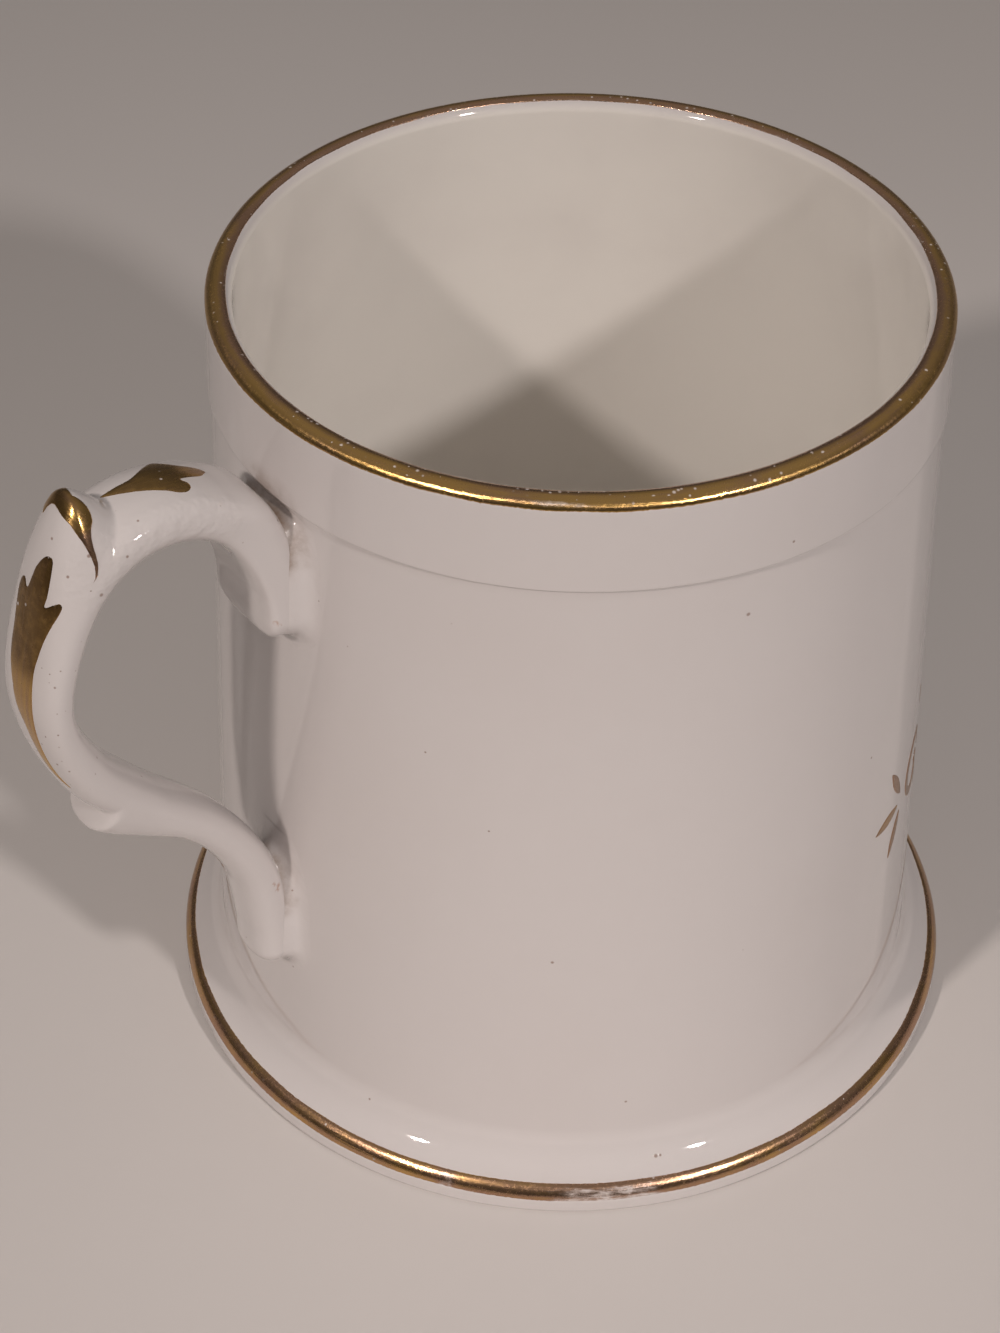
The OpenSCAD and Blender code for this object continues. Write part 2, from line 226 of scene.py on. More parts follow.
class MUG_PG_stage(PropertyGroup):
    """Lamps, sky and camera."""

    lamp_distance: size("Lamp distance", "From the mug to each lamp", 1.2)
    lamp_size: size("Lamp size", "Diameter of each lamp", 0.085)
    lamp_spread: angle("Lamp spread", "Full angle of each lamp's beam", 34)
    lamp_power: FloatProperty(
        name="Lamp power", description="Power of each lamp", default=0.18, unit="POWER",
    )
    near_lamp: angle("Near lamp", "Direction of the lamp on the near side, round Z from +X", -85.5)
    near_lamp_height: angle("Near lamp height", "Height of the near lamp above the table", 34)
    handle_lamp: angle("Handle lamp", "Direction of the lamp on the handle's side, round Z from +X", -171)
    handle_lamp_height: angle("Handle lamp height", "Height of the handle's lamp above the table", 39.2)
    near_lamp_colour: colour("Near lamp colour", "Colour of the near lamp", (1.0, 0.92, 0.885))
    handle_lamp_colour: colour("Handle lamp colour", "Colour of the handle's lamp", (1.0, 0.895, 0.835))
    sky_low: colour("Low sky", "Light that comes from the horizon", (0.085, 0.078, 0.074))
    sky_high: colour("High sky", "Light that comes from above", (0.31, 0.285, 0.27))
    eye: FloatVectorProperty(
        name="Eye", description="Place of the camera", default=(-0.1474, -0.1820, 0.2405),
        subtype="XYZ", unit="LENGTH",
    )
    heading: angle("Heading", "Direction of the view, clockwise from +Y", 37.16)
    dip: angle("Dip", "How far the view looks down", 40.71)
    roll: angle("Roll", "Turn of the picture", 0.613)
    lens: FloatProperty(
        name="Lens", description="Focal length in millimetres on a 36 mm frame", default=75.62,
        unit="CAMERA",
    )


class MUG_PG_settings(PropertyGroup):
    """All settings of the mug."""

    cup: PointerProperty(type=MUG_PG_cup)
    foot: PointerProperty(type=MUG_PG_foot)
    handle: PointerProperty(type=MUG_PG_handle)
    gilding: PointerProperty(type=MUG_PG_gilding)
    finish: PointerProperty(type=MUG_PG_finish)
    stage: PointerProperty(type=MUG_PG_stage)


# Shapes

def arc(centre, radius, start, end, count):
    """Points of a circle in the section, between two angles in radians."""
    a = np.linspace(start, end, count)
    return np.stack([centre[0] + radius * np.cos(a), centre[1] + radius * np.sin(a)], axis=1)


def straight(start, end, count):
    """Points of a line in the section, without its last point."""
    return np.linspace(start, end, count, endpoint=False)


def ease(x, start, end):
    """Smooth step from 0 at start to 1 at end."""
    t = np.clip((x - start) / (end - start), 0, 1)
    return t * t * (3 - 2 * t)


def power(x, exponent):
    """Power that keeps the sign."""
    return np.sign(x) * np.abs(x) ** exponent


def smooth_curve(a, b, c, d, t):
    """Points from b to c, as t goes from 0 to 1, on a smooth curve that comes from a and goes on to d."""
    bend = 2 * a - 5 * b + 4 * c - d
    twist = 3 * b - a - 3 * c + d
    return 0.5 * (2 * b + (c - a) * t + bend * t ** 2 + twist * t ** 3)


class CupShape:
    """Section of the cup, as distances from the axis."""

    def __init__(self, cup, foot):
        self.height = cup.height
        self.rim = cup.rim_diameter / 2
        self.taper = cup.wall_taper
        self.lean = math.atan(self.taper)
        self.lip_radius = cup.lip_thickness / 2
        self.lip = (self.rim - self.lip_radius / math.cos(self.lean), self.height - self.lip_radius)
        self.lip_thickness = cup.lip_thickness
        self.collar_z = self.height - cup.collar_height
        self.step = cup.collar_step
        self.floor_z = foot.recess_depth + cup.floor_thickness
        self.corner_radius = cup.corner_radius
        self.recess = foot.recess_depth
        self.edge_radius = foot.edge_radius
        self.edge = (foot.diameter / 2 - self.edge_radius, foot.edge_height)
        self.foot_corner = foot.corner_radius
        self.ring_in = self.edge[0] - foot.ring_width
        self.flare_radius = foot.flare_radius
        self.flare = self.flare_centre()

    def collar_x(self, z):
        """Outside of the collar at a height."""
        return self.rim + self.taper * (self.lip[1] - z)

    def wall_x(self, z):
        """Outside of the wall at a height."""
        return self.collar_x(z) - self.step

    def inner_x(self, z):
        """Inside of the wall at a height."""
        return self.collar_x(z) - self.lip_thickness / math.cos(self.lean)

    def outside_x(self, z):
        """The collar, the wall or the hollow curve of the foot, whichever is at this height."""
        if z > self.collar_z:
            return self.collar_x(z)
        if z > self.flare[1]:
            return self.wall_x(z)
        return self.flare[0] - math.sqrt(self.flare_radius ** 2 - (self.flare[1] - z) ** 2)

    def flare_centre(self):
        """Centre of the hollow curve, which touches the wall and the rounded edge of the foot."""
        reach = self.wall_x(0) + self.flare_radius / math.cos(self.lean) - self.edge[0]
        b = reach * self.taper + self.edge[1]
        c = reach ** 2 + self.edge[1] ** 2 - (self.flare_radius + self.edge_radius) ** 2
        q = 1 + self.taper ** 2
        z = (b + math.sqrt(b ** 2 - q * c)) / q
        return self.wall_x(z) + self.flare_radius / math.cos(self.lean), z

    def section(self):
        """Points from the middle of the underside, up the outside and down the inside to the floor, and the
        number of the point where the inside starts."""
        lean, pi = self.lean, math.pi
        soft = 0.5 * MM
        slope = 0.35
        recess_lean = 1 * MM
        recess_out = self.ring_in - recess_lean
        foot_x = self.edge[0] + self.edge_radius
        rise = math.atan2(self.flare[1] - self.edge[1], self.flare[0] - self.edge[0])
        hollow = 0.18 * MM
        round_edge = self.step - hollow
        wall_top = self.collar_z - hollow
        collar_low = self.collar_z + round_edge
        collar_from = collar_low + 0.3 * MM
        corner_z = self.floor_z + self.corner_radius
        corner = (self.inner_x(corner_z) - self.corner_radius / math.cos(lean), corner_z)
        flare_top = arc(self.flare, self.flare_radius, pi + lean, pi + lean, 1)[0]
        lip_in = arc(self.lip, self.lip_radius, pi + lean, pi + lean, 1)[0]
        corner_top = arc(corner, self.corner_radius, lean, lean, 1)[0]
        parts = [
            straight((0, self.recess), (recess_out - soft, self.recess), 14),
            arc((recess_out - soft, self.recess - soft), soft, pi / 2, slope, 7),
            arc((self.ring_in + soft, soft), soft, pi + slope, 1.5 * pi, 7),
            straight((self.ring_in + 1.4 * soft, 0), (foot_x - self.foot_corner, 0), 6),
            arc((foot_x - self.foot_corner, self.foot_corner), self.foot_corner, -pi / 2, 0, 9)[:-1],
            straight((foot_x, self.foot_corner), (foot_x, self.edge[1]), 5),
            arc(self.edge, self.edge_radius, 0, rise, 24)[:-1],
            arc(self.flare, self.flare_radius, rise + pi, pi + lean, 26)[:-1],
            straight(flare_top, (self.wall_x(wall_top), wall_top), 64),
            arc((self.wall_x(wall_top) + hollow, wall_top), hollow, pi, pi / 2, 6),
            arc((self.collar_x(collar_low) - round_edge, collar_low), round_edge, -pi / 2, lean, 8),
            straight((self.collar_x(collar_from), collar_from), (self.rim, self.lip[1]), 10),
            arc(self.lip, self.lip_radius, lean, pi + lean, 36)[:-1],
            straight(lip_in, corner_top, 40),
            arc(corner, self.corner_radius, lean, -pi / 2, 22),
            straight((corner[0] - 1 * MM, self.floor_z), (0, self.floor_z), 12),
            np.array([(0, self.floor_z)]),
        ]
        to_lip_end = 13
        lip_inside = 10
        inside_from = sum(len(p) for p in parts[:to_lip_end]) - lip_inside
        return np.concatenate(parts), inside_from

    def on_wall(self, around, z, lift):
        """Points on the wall some way round from +X, lifted off it."""
        turn = around / self.wall_x(z)
        radius = self.wall_x(z) + lift
        return np.stack([radius * np.cos(turn), radius * np.sin(turn), z], axis=-1)


class HandleShape:
    """The scroll handle: a strap that follows the route, with a thumb crest and a spur."""

    # Places along the route are in steps from one station to the next, and a higher power draws a rise in
    # towards the middle of the strap
    crest_u = 3.93
    crest_front = 0.28
    crest_round = 0.06
    crest_tail = 1.6
    crest_sweep = 0.4
    crest_power = 2.4
    spur_u = 7.43
    spur_front = 0.12
    spur_tail = 1.1
    spur_power = 0.8
    root_rise = 0.9 * MM
    root_from = (0.6, 1.2)
    root_to = (1.75, 2.35)
    root_power = 0.6
    flat_until = (1.6, 3.0)
    flat_outside = 0.3
    flat_inside = 0.48
    flat_trim = 0.05
    strap_power = 0.85
    tip_u = 0.5
    tangent_step = 0.01

    def __init__(self, cup, handle):
        self.cup = cup
        self.crest_rise = handle.crest_rise
        self.spur_rise = handle.spur_rise
        self.slip = handle.slip_thickness
        self.stations = np.array(HANDLE_ROUTE) * MM
        self.stations[:, 1] *= cup.height / ROUTE_HEIGHT
        self.stations[:, 0] += cup.wall_x(self.stations[:, 1])

    def strap(self, u):
        """Distance from the axis, height and half sizes, on a smooth curve through the stations."""
        i = np.minimum(np.floor(u), ROUTE_END - 1).astype(int)
        t = (u - i)[..., None]
        return smooth_curve(*(self.stations[np.clip(i + k, 0, ROUTE_END)] for k in (-1, 0, 1, 2)), t)

    def ridge(self, a):
        """Where the ridge of the crest is, which sweeps back down both sides of the strap."""
        return self.crest_u + self.crest_sweep * np.sin(a) ** 2

    def rise(self, u, a):
        """Height of the crest, the spur and the thick root at the upper end."""
        across = np.maximum(0, np.cos(a))
        x = u - self.ridge(a)
        behind = np.hypot(np.maximum(x, 0), self.crest_round) - self.crest_round
        crest = ease(x, -self.crest_front, 0.02) * (1 - np.clip(behind / self.crest_tail, 0, 1)) ** 2
        y = u - self.spur_u
        spur_end = self.spur_front + self.spur_tail
        spur = ease(y, 0, self.spur_front) * (1 - ease(y, self.spur_front, spur_end))
        root = self.root_rise * ease(u, *self.root_from) * (1 - ease(u, *self.root_to))
        return (
            self.crest_rise * across ** self.crest_power * crest
            + self.spur_rise * across ** self.spur_power * spur
            + root * across ** self.root_power
        )

    def point(self, u, degrees, lift=0.0):
        """Points of the handle, lifted off its surface. None goes nearer to the wall than the slip."""
        u, a = np.broadcast_arrays(np.asarray(u, float), np.radians(np.asarray(degrees, float)))
        s = self.strap(u)
        ahead = self.strap(np.minimum(ROUTE_END, u + self.tangent_step))
        behind = self.strap(np.maximum(0, u - self.tangent_step))
        along = (ahead - behind)[..., :2]
        along = along / np.linalg.norm(along, axis=-1, keepdims=True)
        to_tip = np.minimum(1, np.minimum(u, ROUTE_END - u) / self.tip_u)
        k = np.sqrt(np.maximum(0, 1 - (1 - to_tip) ** 2))
        boxy = 1 - ease(u, *self.flat_until)
        exponent = self.strap_power - np.where(np.cos(a) < 0, self.flat_inside, self.flat_outside) * boxy
        trim = 1 - self.flat_trim * boxy
        out = k * (power(np.cos(a), exponent) * (trim * s[..., 2] + lift) + self.rise(u, a))
        y = k * power(np.sin(a), exponent) * (trim * s[..., 3] + lift)
        x = s[..., 0] - along[..., 1] * out
        z = s[..., 1] + along[..., 0] * out
        near = np.hypot(x, y)
        least = self.cup.wall_x(z) + self.slip
        push = np.where(near < least, least / np.maximum(near, 1e-9), 1)
        return np.stack([-x * push, -y * push, z], axis=-1)

    def with_ridge(self, u, degrees):
        """Place along the strap of a ring's point: rings near the crest lean back with its ridge."""
        follow = ease(u, self.crest_u - 0.9, self.crest_u - self.crest_front)
        follow = follow * (1 - ease(u, self.crest_u, self.crest_u + 1.1))
        return u + follow * (self.ridge(np.radians(degrees)) - self.crest_u)

    def normals(self, u, degrees):
        """Directions straight off the surface."""
        du, da = 0.002, 0.4
        along = self.point(u + du, degrees) - self.point(u - du, degrees)
        around = self.point(u, degrees + da) - self.point(u, degrees - da)
        normal = np.cross(along, around)
        normal /= np.maximum(np.linalg.norm(normal, axis=-1, keepdims=True), 1e-15)
        out = self.point(u, degrees, MM) - self.point(u, degrees)
        return -normal if (normal * out).sum() < 0 else normal

    def lifted(self, u, degrees, lift):
        """Points of the handle, moved straight off its surface."""
        return self.point(u, degrees) + np.asarray(lift)[..., None] * self.normals(u, degrees)


def shapes(settings):
    """The cup and the handle that the settings give."""
    cup = CupShape(settings.cup, settings.foot)
    return cup, HandleShape(cup, settings.handle)


class Joint:
    """One end of the handle, where slip joins it to the wall."""

    reach = 20 * MM

    def __init__(self, handle, start, end, dirt_and_shade):
        self.dirt_and_shade = dirt_and_shade
        u, a = np.meshgrid(np.linspace(start, end, 260), np.arange(0, 360, 2.0), indexing="ij")
        self.points = handle.point(u, a).reshape(-1, 3)
        self.normals = handle.normals(u, a).reshape(-1, 3)
        self.tree = KDTree(len(self.points))
        for index, point in enumerate(self.points):
            self.tree.insert(point, index)
        self.tree.balance()
        wall_gap = np.hypot(self.points[:, 0], self.points[:, 1]) - handle.cup.wall_x(self.points[:, 2])
        self.touched = self.points[wall_gap < 1.02 * handle.slip]
        self.top = self.touched[:, 2].max()
        self.low = self.touched[:, 2].min()
        self.middle = self.touched.mean(axis=0)

    def gap(self, points):
        """Distance from each point to the strap, below 0 inside it."""
        found = [self.tree.find(p) for p in points]
        index = np.array([f[1] for f in found])
        far = np.array([f[2] for f in found])
        off = ((points - self.points[index]) * self.normals[index]).sum(axis=1)
        return np.where(far < 0.4 * MM, off, np.sign(off) * far)

    def close(self, points):
        """True for the points that this end may touch, soil or shade."""
        return np.linalg.norm(points - self.middle, axis=1) < self.reach

    def grime_and_shade(self, height, near):
        """How soiled and how shaded the corner is painted at some heights and distances from what it closes
        against: a brown stain near the top of each end, a dark line in the crevice that is soiling and
        painted shade together, a painted shadow under each end and a faint darkening along the seam.
        """
        above = ease(height, self.top - 5 * MM, self.top - 1 * MM)
        below = 1 - ease(height, self.low - 0.5 * MM, self.low + 2 * MM)
        stain = 0.46 * above * (1 - ease(near, 0.8 * MM, 3.2 * MM))
        # Dark line in the crevice: soiling and painted shade together
        line = above * (1 - ease(near, 0.03 * MM, 0.25 * MM))
        # Painted shadow under each end of the strap
        under = 0.4 * below * (1 - ease(near, 0.2 * MM, 1.6 * MM))
        seam = 0.2 * (1 - ease(near, 0.1 * MM, 0.8 * MM))
        return self.dirt_and_shade * np.maximum.reduce([stain, line, under, seam])


def handle_joints(handle):
    """The upper and the lower end of the handle."""
    # The last number is how strongly each end is soiled and painted with shade
    return {
        "upper_slip_joint": Joint(handle, 0.02, 2.4, 1.0),
        "lower_slip_joint": Joint(handle, 9.0, ROUTE_END - 0.02, 0.75),
    }


def wall_grime_and_shade(points, joints):
    """Soiling and painted shade on the wall round both ends of the handle."""
    grime_and_shade = np.zeros(len(points))
    for joint in joints:
        close = joint.close(points)
        near = np.maximum(0, joint.gap(points[close]))
        grime_and_shade[close] = np.maximum(grime_and_shade[close], joint.grime_and_shade(points[close, 2], near))
    return grime_and_shade


def handle_grime_and_shade(points, handle, joints):
    """Soiling and painted shade on the handle where it closes against the wall."""
    off_wall = np.hypot(points[:, 0], points[:, 1]) - handle.cup.wall_x(points[:, 2])
    near = np.maximum(0, off_wall - handle.slip)
    grime_and_shade = np.zeros(len(points))
    for joint in joints:
        close = joint.close(points)
        grime_and_shade[close] = 0.7 * joint.grime_and_shade(points[close, 2], 1.3 * near[close])
    return grime_and_shade


def smooth_loop(points, steps=10):
    """Closed smooth curve through some points."""
    p = np.array(points, float)
    t = (np.arange(steps) / steps)[None, :, None]
    curve = smooth_curve(*(np.roll(p, k, axis=0)[:, None] for k in (1, 0, -1, -2)), t)
    return curve.reshape(-1, 2)


def is_inside(points, loop):
    """True for the points inside a closed loop."""
    x, y = points[:, 0, None], points[:, 1, None]
    x0, y0 = loop[:, 0], loop[:, 1]
    x1, y1 = np.roll(x0, -1), np.roll(y0, -1)
    spans = (y0 > y) != (y1 > y)
    height = np.where(y1 == y0, 1, y1 - y0)
    return (spans & (x < (x1 - x0) * (y - y0) / height + x0)).sum(axis=1) % 2 == 1


def evenly_spaced(loop, spacing):
    """The same closed loop with points at about the given distance."""
    closed = np.vstack([loop, loop[:1]])
    run = np.concatenate([[0], np.cumsum(np.linalg.norm(np.diff(closed, axis=0), axis=1))])
    at = np.linspace(0, run[-1], max(12, int(run[-1] / spacing)), endpoint=False)
    return np.stack([np.interp(at, run, closed[:, k]) for k in (0, 1)], axis=1)


def softened(values, rows, passes):
    """Values on a grid, each drawn towards its neighbours."""
    field = values.reshape(rows, -1).copy()
    for _ in range(passes):
        beside = field[:-2, 1:-1] + field[2:, 1:-1] + field[1:-1, :-2] + field[1:-1, 2:]
        field[1:-1, 1:-1] = 0.5 * field[1:-1, 1:-1] + 0.125 * beside
    return field.ravel()


# Pieces

def add_piece(name, node, material, points, faces, marks):
    """Makes a smooth mesh that stands for a node of the solids and goes where it goes. Each mark is a row
    of numbers for the points, or one number for all of them."""
    mesh = bpy.data.meshes.new(name)
    mesh.from_pydata(points.tolist(), [], faces)
    mesh.shade_smooth()
    for mark, values in marks.items():
        row = np.full(len(points), values, np.float32)
        mesh.attributes.new(mark, "FLOAT", "POINT").data.foreach_set("value", row)
    mesh.materials.append(material)
    mesh.validate()
    piece = bpy.data.objects.new(name, mesh)
    bpy.context.scene.collection.objects.link(piece)
    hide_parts(node)
    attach(piece, "root")
    return piece


def turn_outward(piece):
    """Makes all faces of a closed mesh look outward."""
    shell = bmesh.new()
    shell.from_mesh(piece.data)
    bmesh.ops.recalc_face_normals(shell, faces=shell.faces)
    shell.to_mesh(piece.data)
    shell.free()


def turned(section, segments):
    """Points and faces of a section turned round the axis. Its first and last points are on the axis."""
    turn = np.linspace(0, 2 * np.pi, segments, endpoint=False)
    ring = section[1:-1]
    x = ring[:, 0, None] * np.cos(turn)
    y = ring[:, 0, None] * np.sin(turn)
    z = np.broadcast_to(ring[:, 1, None], x.shape)
    body = np.stack([x, y, z], axis=-1).reshape(-1, 3)
    ends = np.array([[0, 0, section[0, 1]], [0, 0, section[-1, 1]]])
    last = len(body) + 1
    near = np.arange(segments)
    far = (near + 1) % segments
    faces = [(0, 1 + b, 1 + a) for a, b in zip(near.tolist(), far.tolist())]
    for row in range(len(ring) - 1):
        low = 1 + row * segments
        high = low + segments
        faces += [(low + a, low + b, high + b, high + a) for a, b in zip(near.tolist(), far.tolist())]
    top = last - segments
    faces += [(top + a, top + b, last) for a, b in zip(near.tolist(), far.tolist())]
    return np.concatenate([ends[:1], body, ends[1:]]), faces


def grid_faces(rows, columns, closed=False):
    """Faces between rows of points, where each row may close on itself."""
    faces = []
    for i in range(rows - 1):
        for j in range(columns if closed else columns - 1):
            k = (j + 1) % columns
            faces.append((i * columns + j, i * columns + k, (i + 1) * columns + k, (i + 1) * columns + j))
    return faces


def facing(points, faces, outward):
    """The faces, turned over if they look against the outward directions of their points."""
    f = np.array([face[:3] for face in faces])
    normal = np.cross(points[f[:, 1]] - points[f[:, 0]], points[f[:, 2]] - points[f[:, 0]])
    if (normal * outward[f[:, 0]]).sum() < 0:
        return [face[::-1] for face in faces]
    return faces


def distance_to(loop, points):
    """Distance from each point to the nearest point of a loop."""
    return np.array([np.min(np.linalg.norm(loop - p, axis=1)) for p in points])


def gold_patch(loop, place, film, spacing, edge):
    """Points, faces and flat places of a thin patch of gold, whose edge falls to the glaze. loop is its
    outline on a flat map, in metres, and place puts points of the map on the object, lifted off it."""
    outline = evenly_spaced(loop, spacing)
    step = np.roll(outline, -1, axis=0) - np.roll(outline, 1, axis=0)
    across = np.stack([-step[:, 1], step[:, 0]], axis=1) / np.linalg.norm(step, axis=1, keepdims=True)
    sides = [outline + edge * across, outline - edge * across]
    inner = max(sides, key=lambda s: is_inside(s, outline).sum())
    low, high = outline.min(axis=0), outline.max(axis=0)
    xs, ys = (np.arange(low[k], high[k], 2 * spacing) for k in (0, 1))
    field = np.stack(np.meshgrid(xs, ys), axis=-1).reshape(-1, 2)
    field = np.concatenate([inner, field])
    field = field[is_inside(field, outline) & (distance_to(outline, field) > 0.7 * edge)]
    flat = np.concatenate([outline, field])
    count = len(outline)
    rim = [(k, (k + 1) % count) for k in range(count)]
    scale = 1 / MM
    flat_points, _, faces, *_ = delaunay_2d_cdt([Vector(p * scale) for p in flat], rim, [], 1, 1e-5)
    flat = np.array([(p.x, p.y) for p in flat_points]) / scale
    reach = distance_to(outline, flat)
    lift = film * ease(reach, 0, edge) - 0.25 * film * (reach < 1e-7)
    points = place(flat[:, 0], flat[:, 1], lift)
    outward = place(flat[:, 0], flat[:, 1], lift + MM) - points
    return points, facing(points, [tuple(f) for f in faces], outward), flat


def joined(patches):
    """Several patches as one set of points, faces and places on the flat map."""
    points, faces, flats, start = [], [], [], 0
    for p, f, flat in patches:
        points.append(p)
        flats.append(flat)
        faces += [tuple(start + k for k in face) for face in f]
        start += len(p)
    return np.concatenate(points), faces, np.concatenate(flats)


def wander(count, waves, rng):
    """Uneven line round a ring, about -1 to 1, made from a number of waves."""
    turn = np.linspace(0, 2 * np.pi, count, endpoint=False)
    line = np.zeros(count)
    for wave in waves:
        line += rng.normal() * np.sin(wave * turn + rng.uniform(0, 2 * np.pi))
    return line / max(1e-9, np.abs(line).max())


def gold_band(centre, radius, start, end, gold, rng):
    """Points, faces and places of a ring of gold on a rounded edge, with uneven borders."""
    count, rows = 1080, 18
    film = gold.film
    fine = rng.integers(150, 520, 60)
    slow = rng.integers(3, 40, 12)
    stray = gold.ragged / radius
    from_line = start + stray * (0.6 * wander(count, fine, rng) + 0.6 * wander(count, slow, rng))
    to_line = end + stray * (0.4 * wander(count, fine, rng) + 0.6 * wander(count, slow, rng))
    share_up = np.concatenate([[0, 0.02], np.linspace(0.06, 0.94, rows - 4), [0.98, 1]])[:, None]
    a = from_line + (to_line - from_line) * share_up
    lift = np.full((rows, 1), film)
    lift[0] = lift[-1] = -0.3 * film
    r = centre[0] + (radius + lift) * np.cos(a)
    z = centre[1] + (radius + lift) * np.sin(a)
    turn = np.linspace(0, 2 * np.pi, count, endpoint=False)
    points = np.stack([r * np.cos(turn), r * np.sin(turn), z], axis=-1)
    x, y = centre[0] * np.cos(turn), centre[0] * np.sin(turn)
    middle = np.stack([x, y, np.full(count, centre[1])], axis=-1)
    outward = (points - middle[None]).reshape(-1, 3)
    points = points.reshape(-1, 3)
    faces = facing(points, grid_faces(rows, count, closed=True), outward)
    return points, faces, np.broadcast_to(share_up, a.shape).ravel(), np.broadcast_to(turn, a.shape).ravel()


# Finishes

class Finish:
    """One material, built from nodes on the piece's own coordinates."""

    def __init__(self, name):
        self.material = bpy.data.materials.new(name)
        self.material.use_nodes = True
        self.tree = self.material.node_tree
        self.shader = self.tree.nodes["Principled BSDF"]
        self.place = self.tree.nodes.new("ShaderNodeTexCoord").outputs["Object"]

    def feed(self, socket, value):
        """Gives a socket a value or the output of another node."""
        if isinstance(value, bpy.types.NodeSocket):
            self.tree.links.new(value, socket)
        else:
            socket.default_value = value

    def stretched(self, x, y, z):
        """The piece's coordinates with each axis stretched."""
        node = self.tree.nodes.new("ShaderNodeVectorMath")
        node.operation = "MULTIPLY"
        self.feed(node.inputs[0], self.place)
        self.feed(node.inputs[1], (x, y, z))
        return node.outputs[0]

    def strokes(self, along, across):
        """Coordinates that run along a painted stroke and across it, in metres."""
        node = self.tree.nodes.new("ShaderNodeCombineXYZ")
        self.feed(node.inputs[0], self.product(self.mark("run"), along))
        self.feed(node.inputs[1], self.product(self.mark("rise"), across))
        return node.outputs[0]

    def noise(self, scale, detail=4.0, roughness=0.5, place=None):
        """Soft uneven pattern between 0 and 1."""
        node = self.tree.nodes.new("ShaderNodeTexNoise")
        self.feed(node.inputs["Vector"], place or self.place)
        self.feed(node.inputs["Scale"], scale)
        self.feed(node.inputs["Detail"], detail)
        self.feed(node.inputs["Roughness"], roughness)
        return node.outputs[0]

    def mark(self, name):
        """A mark that the mesh carries on its points."""
        node = self.tree.nodes.new("ShaderNodeAttribute")
        node.attribute_name = name
        return node.outputs["Fac"]

    def sum(self, a, b):
        return self.math("ADD", a, b)

    def product(self, a, b):
        return self.math("MULTIPLY", a, b)

    def most(self, a, b):
        return self.math("MAXIMUM", a, b)

    def math(self, operation, a, b):
        """Two values put together by one operation."""
        node = self.tree.nodes.new("ShaderNodeMath")
        node.operation = operation
        self.feed(node.inputs[0], a)
        self.feed(node.inputs[1], b)
        return node.outputs[0]

    def between(self, value, start, end, low=0.0, high=1.0):
        """Smooth step of a value, from low at start to high at end."""
        node = self.tree.nodes.new("ShaderNodeMapRange")
        node.interpolation_type = "SMOOTHSTEP"
        for socket, v in zip(node.inputs[:5], (value, start, end, low, high)):
            self.feed(socket, v)
        return node.outputs[0]

    def mix(self, factor, a, b):
        """Colour between a and b."""
        node = self.tree.nodes.new("ShaderNodeMix")
        node.data_type = "RGBA"
        self.feed(node.inputs[0], factor)
        for socket, v in ((node.inputs[6], a), (node.inputs[7], b)):
            self.feed(socket, v if isinstance(v, bpy.types.NodeSocket) else (*v, 1.0))
        return node.outputs[2]

    def specks(self, scale, radius, amount):
        """Scattered round specks: cells a scale-th of a metre wide, of which an amount hold a speck."""
        node = self.tree.nodes.new("ShaderNodeTexVoronoi")
        self.feed(node.inputs["Vector"], self.place)
        self.feed(node.inputs["Scale"], scale)
        parts = self.tree.nodes.new("ShaderNodeSeparateColor")
        self.feed(parts.inputs[0], node.outputs["Color"])
        width = self.between(parts.outputs[1], 0.0, 1.0, 0.35 * radius * scale, radius * scale)
        spot = self.between(self.math("DIVIDE", node.outputs["Distance"], width), 1.0, 0.35)
        return self.product(spot, self.math("LESS_THAN", parts.outputs[0], amount))

    def spot(self, centre, radius):
        """One round speck."""
        node = self.tree.nodes.new("ShaderNodeVectorMath")
        node.operation = "DISTANCE"
        self.feed(node.inputs[0], self.place)
        self.feed(node.inputs[1], centre)
        return self.between(node.outputs["Value"], radius, 0.35 * radius)

    def bump(self, height, distance):
        """Relief of the surface."""
        node = self.tree.nodes.new("ShaderNodeBump")
        self.feed(node.inputs["Height"], height)
        self.feed(node.inputs["Distance"], distance)
        self.feed(self.shader.inputs["Normal"], node.outputs[0])

    def set(self, **values):
        """Sets sockets of the surface by name, with _ for a space."""
        for name, value in values.items():
            self.feed(self.shader.inputs[name.replace("_", " ")], value)


